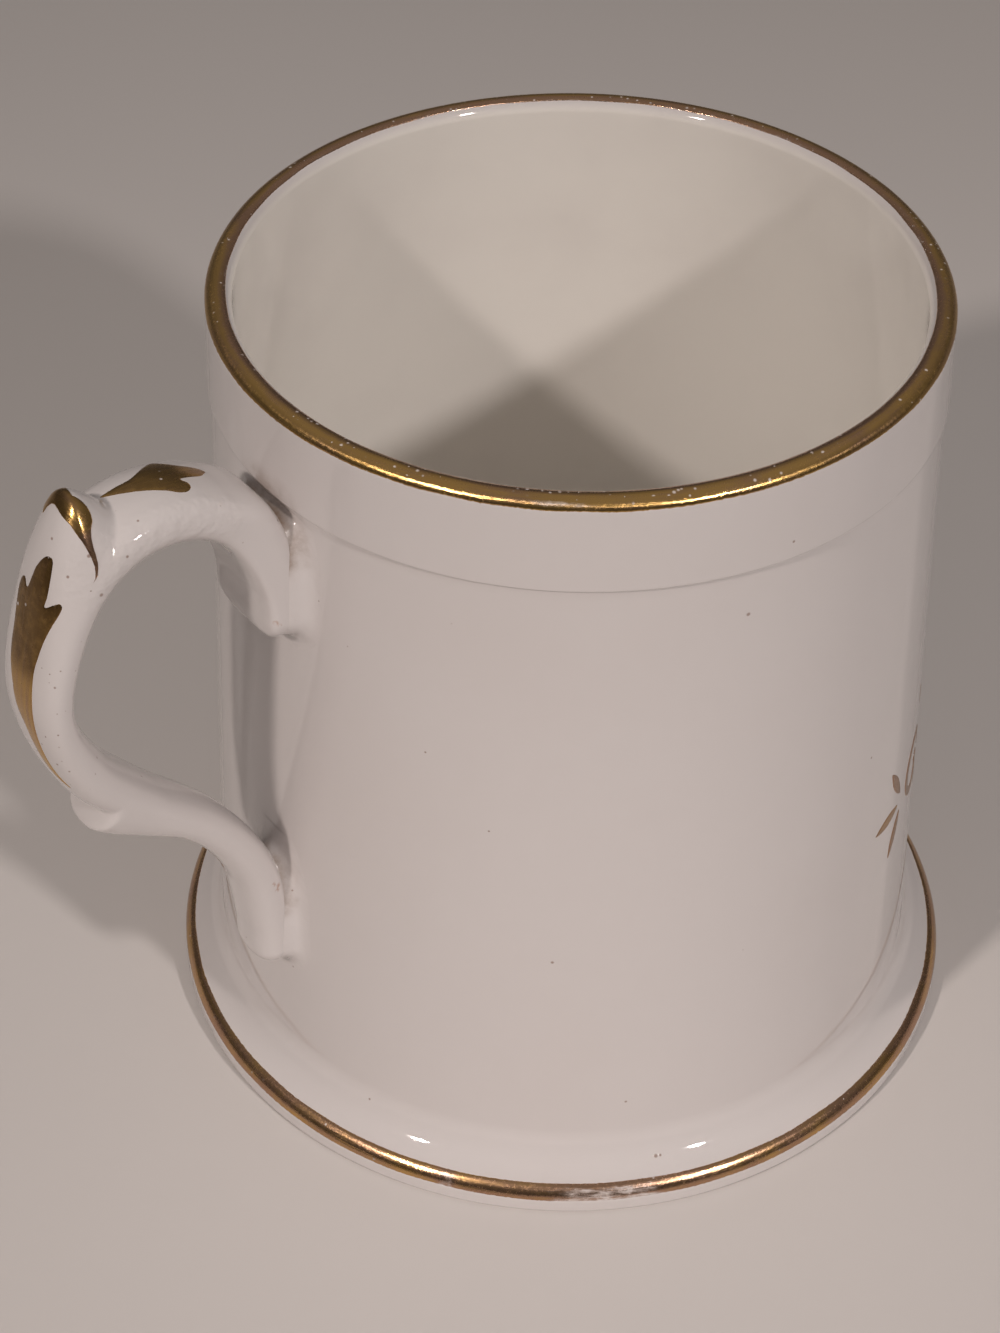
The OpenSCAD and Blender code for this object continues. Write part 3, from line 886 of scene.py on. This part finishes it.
def porcelain(settings):
    """Glazed porcelain: faint clouding, pits, rusty flecks, soiling and painted shade in the joints, glaze
    painted lighter inside the cup to stand in for its fill light, and a bare standing ring.
    """
    made = bpy.data.materials.get("glazed_porcelain")
    if made:
        return made
    c = settings.finish
    cup, handle = shapes(settings)
    f = Finish("glazed_porcelain")
    clouds = f.product(f.between(f.noise(26, 4, 0.55), 0.42, 0.72), 0.30)
    patchy = f.between(f.noise(380, 6, 0.6), 0.3, 0.7, 0.55, 1.25)
    # Soiling and painted shade of the joints, made patchy
    dirt_and_shade = f.product(f.between(f.product(f.mark("grime_and_shade"), patchy), 0.06, 1.0), 0.92)
    pits = f.specks(1200, 0.2 * MM, f.mark("pitted"))
    for degrees, height, radius in WALL_PITS:
        turn = math.radians(degrees)
        reach = cup.outside_x(height * MM)
        centre = (reach * math.cos(turn), reach * math.sin(turn), height * MM)
        pits = f.most(pits, f.spot(centre, radius * MM))
    for u, degrees, radius in HANDLE_PITS:
        pits = f.most(pits, f.spot(handle.point(u, degrees), radius * MM))
    flecks = 0.0
    for u, degrees, radius in HANDLE_FLECKS:
        flecks = f.most(flecks, f.spot(handle.point(u, degrees), radius * MM))
    flecks = f.product(flecks, f.between(f.noise(2500, 3), 0.4, 0.6, 0.0, 0.6))
    bare = f.mark("bare")
    # The inside of the cup is painted lighter, for the fill light there
    glaze = f.mix(f.mark("inside"), c.porcelain, c.porcelain_inside_painted_light)
    glaze = f.mix(clouds, glaze, c.clouding)
    glaze = f.mix(bare, glaze, c.biscuit)
    glaze = f.mix(dirt_and_shade, glaze, c.grime_and_shade)
    glaze = f.mix(flecks, glaze, c.fleck)
    glaze = f.mix(f.product(pits, 0.75), glaze, c.pit)
    fine = f.noise(900, 3)
    rough = f.sum(f.between(fine, 0.3, 0.7, 0.025, 0.06), f.product(f.most(dirt_and_shade, bare), 0.4))
    turning = f.product(f.noise(1, 2, place=f.stretched(12, 12, 1100)), f.mark("ridged"))
    relief = f.sum(f.noise(70, 2), f.product(turning, 0.4))
    relief = f.sum(relief, f.product(f.product(f.noise(1100, 1), f.mark("uneven")), 3.0))
    relief = f.sum(relief, f.product(pits, -0.4))
    f.set(Base_Color=glaze, Roughness=rough, IOR=1.52, Coat_Weight=0.25, Coat_Roughness=0.03)
    f.bump(relief, 0.05 * MM)
    return f.material


def gilding(settings, name="worn_gilding", drawn=0.0):
    """Fired gold: burnished, uneven in tone, pricked and rubbed through to the porcelain, and darkened
    where it is dulled and where a dark reflection is painted on it. Its gloss may be drawn out round the
    axis."""
    made = bpy.data.materials.get(name)
    if made:
        return made
    c = settings.finish
    f = Finish(name)
    brushed = f.noise(1, 5, 0.6, place=f.strokes(140, 2600))
    grain = f.noise(3200, 4, 0.6)
    tone = f.sum(f.product(f.noise(160, 4, 0.6), 0.5), f.product(brushed, 0.5))
    tone = f.between(f.sum(tone, f.product(f.mark("thin"), 0.4)), 0.42, 0.72)
    smeared = f.noise(1, 6, 0.65, place=f.strokes(420, 3000))
    rubbing = f.sum(f.product(smeared, 0.75), f.product(f.noise(1700, 5, 0.65), 0.25))
    rubbed = f.between(f.sum(rubbing, f.mark("wear")), 0.64, 1.0)
    clusters = f.between(f.noise(150, 2), 0.42, 0.6)
    pricks = f.specks(1500, 0.26 * MM, f.product(f.mark("pricked"), clusters))
    bare = f.most(f.product(rubbed, 0.9), f.product(pricks, 0.8))
    # Dulled gold, and on the handle's gold a painted dark reflection
    dulled = f.product(f.mark("dull_and_dark_reflection"), f.between(f.noise(900, 5, 0.65), 0.25, 0.6, 0.55, 1.0))
    gold = f.mix(dulled, f.mix(tone, c.gold, c.gold_thin), c.gold_dull_and_dark_reflection)
    burnish = f.sum(f.product(grain, 0.5), f.product(brushed, 0.5))
    f.set(
        Base_Color=f.mix(bare, gold, c.porcelain),
        Metallic=f.between(bare, 0.0, 1.0, 1.0, 0.0),
        Roughness=f.between(burnish, 0.35, 0.7, 0.16, 0.32),
        Anisotropic=drawn,
    )
    relief = f.sum(f.product(grain, 0.3), f.sum(f.product(brushed, 1.4), f.product(f.noise(500, 3), 0.7)))
    f.bump(relief, 0.02 * MM)
    return f.material


# Operators

class MUG_OT_cup_body(Operator):
    """Turn the cup: foot, wall, collar, lip and hollow in one smooth section."""

    bl_idname = "mug.cup_body"
    bl_label = "Cup body"

    segments = 288

    def execute(self, context):
        settings = context.scene.mug
        cup, handle = shapes(settings)
        section, inside_from = cup.section()
        points, faces = turned(section, self.segments)
        last = len(section) - 1
        row = np.concatenate([[0], np.repeat(np.arange(1, last), self.segments), [last]])
        standing = (points[:, 2] < 0.05 * MM) & (np.hypot(points[:, 0], points[:, 1]) > cup.ring_in)
        marks = {
            # Marks the glaze that is painted lighter for the fill light inside the cup
            "inside": ease(row, inside_from, inside_from + 8),
            "bare": standing,
            # Soiling and painted shade round the ends of the handle
            "grime_and_shade": wall_grime_and_shade(points, handle_joints(handle).values()),
            "pitted": 0.003 * (row < inside_from),
            "uneven": 0.01,
            "ridged": 0.12 + 0.88 * (1 - ease(points[:, 2], 6 * MM, 9 * MM)) * (row < inside_from),
        }
        add_piece("glazed_cup", "cup_body", porcelain(settings), points, faces, marks)
        return {"FINISHED"}


class MUG_OT_handle(Operator):
    """Cast the scroll handle: strap, thumb crest, spur and fingertip ends."""

    bl_idname = "mug.handle"
    bl_label = "Scroll handle"

    sides = 80
    tip_gap = 0.004
    crest_close = 0.4

    def rings(self, handle):
        """Places of the rings along the route, which are closest at the tips, the crest and the spur."""
        last = ROUTE_END - self.tip_gap
        crest, spur = handle.crest_u, handle.spur_u
        front = crest - handle.crest_front
        behind = crest + self.crest_close
        spur_end = spur + handle.spur_front
        lower_tip = ROUTE_END - handle.tip_u
        spans = (
            (self.tip_gap, handle.tip_u, 26), (handle.tip_u, front, 110), (front, crest, 26),
            (crest, behind, 40), (behind, spur, 90), (spur, spur_end, 10), (spur_end, lower_tip, 120),
            (lower_tip, last, 26),
        )
        return np.concatenate([np.linspace(a, b, n, endpoint=False) for a, b, n in spans] + [[last]])

    def execute(self, context):
        settings = context.scene.mug
        _, handle = shapes(settings)
        sides = self.sides
        degrees = np.arange(sides) * 360 / sides
        u = self.rings(handle)
        around = np.broadcast_to(degrees, (len(u), sides))
        rings = handle.point(handle.with_ridge(u[:, None], degrees[None]), around)
        ends = handle.point(np.array([0.0, ROUTE_END]), np.zeros(2))
        points = np.concatenate([rings.reshape(-1, 3), ends])
        faces = grid_faces(len(u), sides, closed=True)
        first, last = len(points) - 2, len(points) - 1
        foot = (len(u) - 1) * sides
        faces += [(first, (j + 1) % sides, j) for j in range(sides)]
        faces += [(last, foot + j, foot + (j + 1) % sides) for j in range(sides)]
        along = np.concatenate([np.repeat(u, sides), [0, ROUTE_END]])
        around = np.concatenate([np.tile(degrees, len(u)), [0, 0]])
        side = np.minimum(np.abs(around - 70), np.abs(around - 290))
        speckled = ease(along, 4.8, 5.6) * (1 - ease(along, 6.6, 7.4)) * (1 - ease(side, 18, 34))
        bumpy = ease(along, 2.0, 2.4) * (1 - ease(along, 4.3, 4.9)) * (1 - ease(side, 25, 45))
        marks = {
            # Soiling and painted shade where the handle closes against the wall
            "grime_and_shade": handle_grime_and_shade(points, handle, handle_joints(handle).values()),
            "pitted": 0.035 + 0.6 * speckled + 0.08 * bumpy,
            "uneven": 0.06 + 0.94 * bumpy,
        }
        piece = add_piece("glazed_handle", "handle", porcelain(settings), points, faces, marks)
        turn_outward(piece)
        return {"FINISHED"}


class MUG_OT_slip_joints(Operator):
    """Squeeze a pad of slip out round each end of the handle."""

    bl_idname = "mug.slip_joints"
    bl_label = "Slip joints"

    # Distance between the pad's points, and how many fillet widths it may spread past the strap
    spacing = 0.16 * MM
    spread = 2.2

    # How far the pad stays under the collar, goes into the strap and goes into the wall at its border
    under_collar = 0.2 * MM
    into_strap = 0.06 * MM
    into_wall = 0.02 * MM

    settling_steps = 12

    def execute(self, context):
        settings = context.scene.mug
        cup, handle = shapes(settings)
        for name, joint in handle_joints(handle).items():
            self.fillet(settings, cup, name, joint)
        return {"FINISHED"}

    def fillet(self, settings, cup, name, joint):
        """One pad: it lies on the wall and climbs up to the strap in a soft hollow curve."""
        width = settings.handle.fillet_width
        turn = np.arctan2(joint.touched[:, 1], -joint.touched[:, 0])
        places = np.stack([turn * cup.wall_x(joint.touched[:, 2]), joint.touched[:, 2]], axis=1)
        low = places.min(axis=0) - self.spread * width
        high = places.max(axis=0) + self.spread * width
        high[1] = min(high[1], cup.collar_z - self.under_collar)
        around = np.arange(low[0], high[0], self.spacing)
        heights = np.linspace(low[1], high[1], int((high[1] - low[1]) / self.spacing))
        x, z = (g.ravel() for g in np.meshgrid(around, heights))
        angle_round = x / cup.wall_x(z)
        outward = np.stack([-np.cos(angle_round), np.sin(angle_round), np.zeros(len(x))], axis=1)
        wall = outward * cup.wall_x(z)[:, None] + np.array([0, 0, 1]) * z[:, None]
        blend = width * (1 - 0.8 * ease(z, cup.collar_z - 1.5 * MM, cup.collar_z - 0.3 * MM))
        lift = np.zeros(len(x))
        gap = joint.gap(wall)
        reached = gap < blend
        for _ in range(self.settling_steps):
            here = wall[reached] + lift[reached, None] * outward[reached]
            gap[reached] = joint.gap(here)
            a, b, full = lift[reached], gap[reached] + self.into_strap, blend[reached]
            soft = np.maximum(0, full - np.abs(a - b)) ** 2 / (4 * full)
            lift[reached] = np.clip(a - (np.minimum(a, b) - soft), 0, 0.9 * full)
        lift = softened(lift, len(heights), 4)
        gap[reached] = joint.gap(wall[reached] + lift[reached, None] * outward[reached])
        sunk = self.into_wall * ease(gap, 0.9 * blend, 1.02 * blend)
        points = wall + (lift - sunk)[:, None] * outward
        kept = gap / blend < 1.05
        faces = [f for f in grid_faces(len(heights), len(around)) if kept[list(f)].any()]
        used = np.unique(np.array(faces))
        index = np.full(len(points), -1)
        index[used] = np.arange(len(used))
        faces = [tuple(int(index[k]) for k in f) for f in faces]
        # Soiling and painted shade on the pad
        grime_and_shade = softened(joint.grime_and_shade(points[:, 2], np.maximum(0, gap)), len(heights), 6)
        marks = {
            "grime_and_shade": grime_and_shade[used],
            "pitted": 0.03,
            "uneven": 0.25,
        }
        faces = facing(points[used], faces, outward[used])
        add_piece("glazed_" + name, name, porcelain(settings), points[used], faces, marks)


class MUG_OT_band_gilding(Operator):
    """Lay the gold bands on the lip and on the edge of the foot."""

    bl_idname = "mug.band_gilding"
    bl_label = "Gilded bands"

    # Directions of the worn places, in degrees round Z from +X, and how far the gloss is drawn round a band
    rim_worn_towards = -131
    foot_worn_towards = -121
    foot_smudge = -144
    rim_drawn = 0.85
    foot_drawn = 0.5

    def execute(self, context):
        settings = context.scene.mug
        cup, _ = shapes(settings)
        rng = np.random.default_rng(SEED)
        self.rim(settings, cup, rng)
        self.foot(settings, cup, rng)
        return {"FINISHED"}

    def near(self, turn, towards, full, none):
        """1 near one direction of a ring, falling to 0 between two numbers of degrees off it."""
        off = np.abs((np.degrees(turn) - towards + 180) % 360 - 180)
        return 1 - ease(off, full, none)

    def rim(self, settings, cup, rng):
        """Gold over the lip, pricked on top, thin on its inner side and rubbed at one place."""
        g = settings.gilding
        points, faces, up, turn = gold_band(cup.lip, cup.lip_radius, g.rim_from, g.rim_to, g, rng)
        worn = self.near(turn, self.rim_worn_towards, 2, 7) * ease(up, 0.1, 0.2) * (1 - ease(up, 0.3, 0.42))
        marks = {
            "run": turn * cup.lip[0],
            "rise": up * (g.rim_to - g.rim_from) * cup.lip_radius,
            "wear": 0.02 + 0.16 * ease(up, 0.75, 1.0) + 0.3 * worn,
            "thin": 0.6 * ease(up, 0.6, 0.9),
            "dull_and_dark_reflection": 0.0,
            "pricked": 0.12 + 0.75 * ease(up, 0.3, 0.55) * (1 - ease(up, 0.85, 1.0)),
        }
        gold = gilding(settings, "worn_rim_gilding", self.rim_drawn)
        add_piece("gold_rim", "rim_gilding", gold, points, faces, marks)

    def foot(self, settings, cup, rng):
        """Gold on the shoulder of the foot, rubbed at two places."""
        g = settings.gilding
        points, faces, up, turn = gold_band(cup.edge, cup.edge_radius, g.foot_from, g.foot_to, g, rng)
        smudge = 0.8 * self.near(turn, self.foot_smudge, 0.5, 1.8)
        worn = np.maximum(self.near(turn, self.foot_worn_towards, 4, 11), smudge)
        marks = {
            "run": turn * cup.edge[0],
            "rise": up * (g.foot_to - g.foot_from) * cup.edge_radius,
            "wear": 0.02 + 0.3 * worn * (1 - ease(up, 0.6, 0.95)) + 0.1 * (1 - ease(up, 0, 0.15)),
            "thin": 0.3 + 0.5 * worn,
            "dull_and_dark_reflection": 0.0,
            "pricked": 0.1 + 0.3 * worn,
        }
        gold = gilding(settings, "worn_foot_gilding", self.foot_drawn)
        add_piece("gold_foot", "foot_gilding", gold, points, faces, marks)


class MUG_OT_handle_gilding(Operator):
    """Lay the gold on the thumb crest and paint a leaf on the top and the outside of the handle."""

    bl_idname = "mug.handle_gilding"
    bl_label = "Gilded handle"

    # The flat map of the handle: metres for each step along the route and for each degree round it
    along = 8.5 * MM
    around = 0.07 * MM

    # How much of each leaf's gold is painted dark as a dark reflection, and where along the route that
    # fades out
    dulled = {"gold_upper_leaf": (0.5, 3.2, 4.2), "gold_lower_leaf": (0.85, 5.5, 5.75)}

    def execute(self, context):
        settings = context.scene.mug
        _, handle = shapes(settings)
        for name, node, outline in (
            ("gold_upper_leaf", "upper_leaf_gilding", UPPER_LEAF),
            ("gold_lower_leaf", "lower_leaf_gilding", LOWER_LEAF),
        ):
            loop = smooth_loop(outline) * np.array([self.along, self.around])
            self.patch(settings, handle, name, node, loop, self.dulled[name])
        self.crest(settings, handle)
        return {"FINISHED"}

    def patch(self, settings, handle, name, node, loop, dulled):
        """One painted leaf, its gold painted dark as a dark reflection as far as a place along the route.
        """
        def place(x, y, lift):
            return handle.lifted(x / self.along, y / self.around, lift)

        points, faces, flat = gold_patch(loop, place, settings.gilding.film, 0.16 * MM, 0.12 * MM)
        amount, start, end = dulled
        # Painted dark reflection on the leaf, fading out along the route
        dull_and_dark_reflection = amount * (1 - ease(flat[:, 0] / self.along, start, end))
        marks = self.marks(flat, 0.0, dull_and_dark_reflection)
        add_piece(name, node, gilding(settings), points, faces, marks)

    def marks(self, flat, thin, dull_and_dark_reflection):
        """Marks for gold on the handle, which is little worn."""
        return {
            "run": flat[:, 0],
            "rise": flat[:, 1],
            "wear": 0.02,
            "thin": thin,
            "dull_and_dark_reflection": dull_and_dark_reflection,
            "pricked": 0.12,
        }

    def crest(self, settings, handle):
        """Gold over the point of the crest and down its steep front, drawn out to a tail on each side."""
        rows, columns = 25, 260
        film = settings.gilding.film
        table = np.array(CREST_GOLD)
        degrees = np.linspace(table[0, 0], table[-1, 0], columns)
        front = np.interp(degrees, table[:, 0], table[:, 1])
        back = np.interp(degrees, table[:, 0], table[:, 2])
        bend = np.clip(0, front, back)
        t = np.linspace(0, 1, rows)[:, None]
        from_ridge = np.concatenate([front + (bend - front) * t, bend + (back - bend) * t[1:]])
        u = handle.ridge(np.radians(degrees)) + from_ridge
        degrees = np.broadcast_to(degrees, u.shape)
        lift = np.full(u.shape, film)
        lift[0] = lift[-1] = -0.5 * film
        lift[:, 0] = lift[:, -1] = -0.5 * film
        points = handle.lifted(u, degrees, lift).reshape(-1, 3)
        outward = handle.normals(u, degrees).reshape(-1, 3)
        faces = facing(points, grid_faces(len(u), columns), outward)
        flat = np.stack([degrees.ravel() * self.around, u.ravel() * self.along], axis=1)
        off = np.abs(degrees.ravel())
        # The top of the crest is painted dark as a dark reflection; its tails are thin gold
        marks = self.marks(flat, ease(off, 28, 44), 0.55 * (1 - ease(off, 9, 20)))
        add_piece("gold_crest", "crest_gilding", gilding(settings), points, faces, marks)


class MUG_OT_wall_gilding(Operator):
    """Paint the scrolls and leaves on the wall opposite the handle."""

    bl_idname = "mug.wall_gilding"
    bl_label = "Gilded wall ornament"

    curl_eye = 1.4 * MM
    bead_from = 0.9

    def execute(self, context):
        settings = context.scene.mug
        g = settings.gilding
        cup, _ = shapes(settings)
        scrolls, leaves = [], []
        for side in (-1, 1):
            for k in range(3):
                up = side * (1 - 2 * (k % 2))
                start = 90 + 90 * side + 10 * up
                loop = self.curl(g, g.scroll_radius * (1 - 0.1 * k), start, start - 400 * up)
                scrolls.append((side * g.scroll_pitch * (k + 0.7), loop))
            for k in (1, 2):
                for up in (-1, 1):
                    leaf = self.leaf((0, 3.4 * up), 90 - (90 - 72 * up) * side, 6.5 - k, 1.9)
                    leaves.append((side * g.scroll_pitch * (k + 0.2), leaf))
            for a in (-60, 0, 60):
                out = 90 - (90 - a) * side
                foot = (1.3 * math.cos(math.radians(out)), 1.3 * math.sin(math.radians(out)))
                leaves.append((side * 3.1 * g.scroll_pitch, self.leaf(foot, out, 6, 1.5)))
        for a in (20, 55, 90, 125, 160):
            turn = math.radians(a)
            foot = (1.5 * math.cos(turn), 1 + 1.5 * math.sin(turn))
            leaves.append((0, self.leaf(foot, a, 5 + 3 * math.sin(turn), 2.2)))
        leaves.append((0, self.leaf((0, -1.5), -90, 6, 2.2)))
        self.strokes(settings, cup, "gold_wall_scrolls", "wall_scroll_gilding", scrolls)
        self.strokes(settings, cup, "gold_wall_leaves", "wall_leaf_gilding", leaves)
        return {"FINISHED"}

    def strokes(self, settings, cup, name, node, outlines):
        """One piece from several painted strokes."""
        g = settings.gilding
        patches = []
        for shift, loop in outlines:
            loop = loop + np.array([shift, g.ornament_height])
            patches.append(gold_patch(loop, cup.on_wall, 1.5 * g.film, 0.14 * MM, 0.14 * MM))
        points, faces, flat = joined(patches)
        marks = {
            "run": flat[:, 0],
            "rise": flat[:, 1],
            "wear": 0.06,
            "thin": 0.5,
            "dull_and_dark_reflection": 0.2,
            "pricked": 0.2,
        }
        add_piece(name, node, gilding(settings), points, faces, marks)

    def curl(self, g, radius, start, end):
        """Outline of a curl that winds inward, swells in the middle and ends in a bead."""
        t = np.linspace(0, 1, 160)
        bead = np.sin(np.pi * np.clip((t - self.bead_from) / (1 - self.bead_from), 0, 1))
        half = g.stroke_width * (0.2 + 0.35 * np.sin(np.pi * t) + 0.75 * bead)
        turn = np.radians(start + (end - start) * t)
        middle = radius + (self.curl_eye - radius) * t
        away = np.stack([np.cos(turn), np.sin(turn)], axis=1)
        far, near = ((middle + s * half)[:, None] * away for s in (1, -1))
        return np.concatenate([far, near[::-1]])

    def leaf(self, foot, degrees, length, width):
        """Outline of one pointed stroke from its foot, with sizes in millimetres."""
        t = np.linspace(0, 1, 40)
        half = width * np.sin(np.pi * t) ** 0.8 / 2
        turn = math.radians(degrees)
        ahead = np.array([math.cos(turn), math.sin(turn)])
        beside = np.array([-math.sin(turn), math.cos(turn)])
        middle = np.array(foot) + length * t[:, None] * ahead
        left, right = middle + half[:, None] * beside, middle - half[:, None] * beside
        return np.concatenate([left, right[-2:0:-1]]) * MM


class MUG_OT_stage(Operator):
    """Set the pale floor, the two soft lamps, the sky and the camera."""

    bl_idname = "mug.stage"
    bl_label = "Stage"

    def execute(self, context):
        settings = context.scene.mug
        self.floor(context, settings)
        self.lamps(context, settings.stage)
        self.sky(context, settings.stage)
        self.camera(context, settings.stage)
        context.scene.view_settings.view_transform = "Standard"
        return {"FINISHED"}

    def floor(self, context, settings):
        """A wide plain floor just under the standing ring."""
        reach, depth = 20.0, -0.02 * MM
        mesh = bpy.data.meshes.new("floor")
        corners = [(x * reach, y * reach, depth) for x, y in ((-1, -1), (1, -1), (1, 1), (-1, 1))]
        mesh.from_pydata(corners, [], [(0, 1, 2, 3)])
        f = Finish("plain_floor")
        f.set(Base_Color=(*settings.finish.floor, 1.0), Roughness=0.85)
        mesh.materials.append(f.material)
        floor = bpy.data.objects.new("floor", mesh)
        context.scene.collection.objects.link(floor)

    def lamps(self, context, stage):
        """Two round soft lamps, one on each side of the camera."""
        aim = Vector((-0.03, -0.04, 0.03))
        for name, turn, height, tint in (
            ("near_lamp", stage.near_lamp, stage.near_lamp_height, stage.near_lamp_colour),
            ("handle_lamp", stage.handle_lamp, stage.handle_lamp_height, stage.handle_lamp_colour),
        ):
            light = bpy.data.lights.new(name, "AREA")
            light.shape = "DISK"
            light.size = stage.lamp_size
            light.spread = stage.lamp_spread
            light.energy = stage.lamp_power
            light.color = tint
            lamp = bpy.data.objects.new(name, light)
            flat = math.cos(height)
            away = Vector((flat * math.cos(turn), flat * math.sin(turn), math.sin(height)))
            lamp.location = aim + stage.lamp_distance * away
            lamp.rotation_euler = (-away).to_track_quat("-Z", "Y").to_euler()
            context.scene.collection.objects.link(lamp)

    def sky(self, context, stage):
        """Soft light that is stronger overhead than near the horizon."""
        world = bpy.data.worlds.new("soft_sky")
        world.use_nodes = True
        tree = world.node_tree
        direction = tree.nodes.new("ShaderNodeTexCoord")
        parts = tree.nodes.new("ShaderNodeSeparateXYZ")
        tree.links.new(direction.outputs["Generated"], parts.inputs[0])
        blend = tree.nodes.new("ShaderNodeMapRange")
        blend.interpolation_type = "SMOOTHSTEP"
        tree.links.new(parts.outputs["Z"], blend.inputs[0])
        blend.inputs[1].default_value = 0.2
        blend.inputs[2].default_value = 1.0
        mix = tree.nodes.new("ShaderNodeMix")
        mix.data_type = "RGBA"
        tree.links.new(blend.outputs[0], mix.inputs[0])
        mix.inputs[6].default_value = (*stage.sky_low, 1.0)
        mix.inputs[7].default_value = (*stage.sky_high, 1.0)
        tree.links.new(mix.outputs[2], tree.nodes["Background"].inputs["Color"])
        context.scene.world = world

    def camera(self, context, stage):
        """The camera, which looks down on the mug with the handle at the left."""
        data = bpy.data.cameras.new("camera")
        data.sensor_width = 36
        data.lens = stage.lens
        data.clip_start = 0.01
        camera = bpy.data.objects.new("camera", data)
        turn = Matrix.Rotation(-stage.heading, 4, "Z") @ Matrix.Rotation(math.pi / 2 - stage.dip, 4, "X")
        camera.matrix_world = Matrix.Translation(stage.eye) @ turn @ Matrix.Rotation(stage.roll, 4, "Z")
        context.scene.collection.objects.link(camera)
        context.scene.camera = camera


class MUG_PT_sidebar(Panel):
    """Lists the mug's pieces and settings in the sidebar."""

    bl_label = "Christening Mug"
    bl_idname = "MUG_PT_sidebar"
    bl_space_type = "VIEW_3D"
    bl_region_type = "UI"
    bl_category = "Mug"

    def draw(self, context):
        settings = context.scene.mug
        for operator in OPERATORS:
            self.layout.operator(operator.bl_idname)
        for group in ("cup", "foot", "handle", "gilding", "finish", "stage"):
            box = self.layout.box()
            box.label(text=group.capitalize())
            values = getattr(settings, group)
            for name in values.__annotations__:
                box.prop(values, name)


GROUPS = (
    MUG_PG_cup, MUG_PG_foot, MUG_PG_handle, MUG_PG_gilding, MUG_PG_finish, MUG_PG_stage, MUG_PG_settings,
)
OPERATORS = (
    MUG_OT_cup_body, MUG_OT_handle, MUG_OT_slip_joints, MUG_OT_band_gilding, MUG_OT_handle_gilding,
    MUG_OT_wall_gilding, MUG_OT_stage,
)


def register():
    """Adds the settings, the operators and the panel."""
    for cls in GROUPS + OPERATORS + (MUG_PT_sidebar,):
        bpy.utils.register_class(cls)
    bpy.types.Scene.mug = PointerProperty(type=MUG_PG_settings)


def unregister():
    """Takes the settings, the operators and the panel away again."""
    del bpy.types.Scene.mug
    for cls in reversed(GROUPS + OPERATORS + (MUG_PT_sidebar,)):
        bpy.utils.unregister_class(cls)


def main():
    """Builds the mug and its stage."""
    register()
    bpy.ops.mug.cup_body()
    bpy.ops.mug.handle()
    bpy.ops.mug.slip_joints()
    bpy.ops.mug.band_gilding()
    bpy.ops.mug.handle_gilding()
    bpy.ops.mug.wall_gilding()
    bpy.ops.mug.stage()


if __name__ == "__main__":
    main()
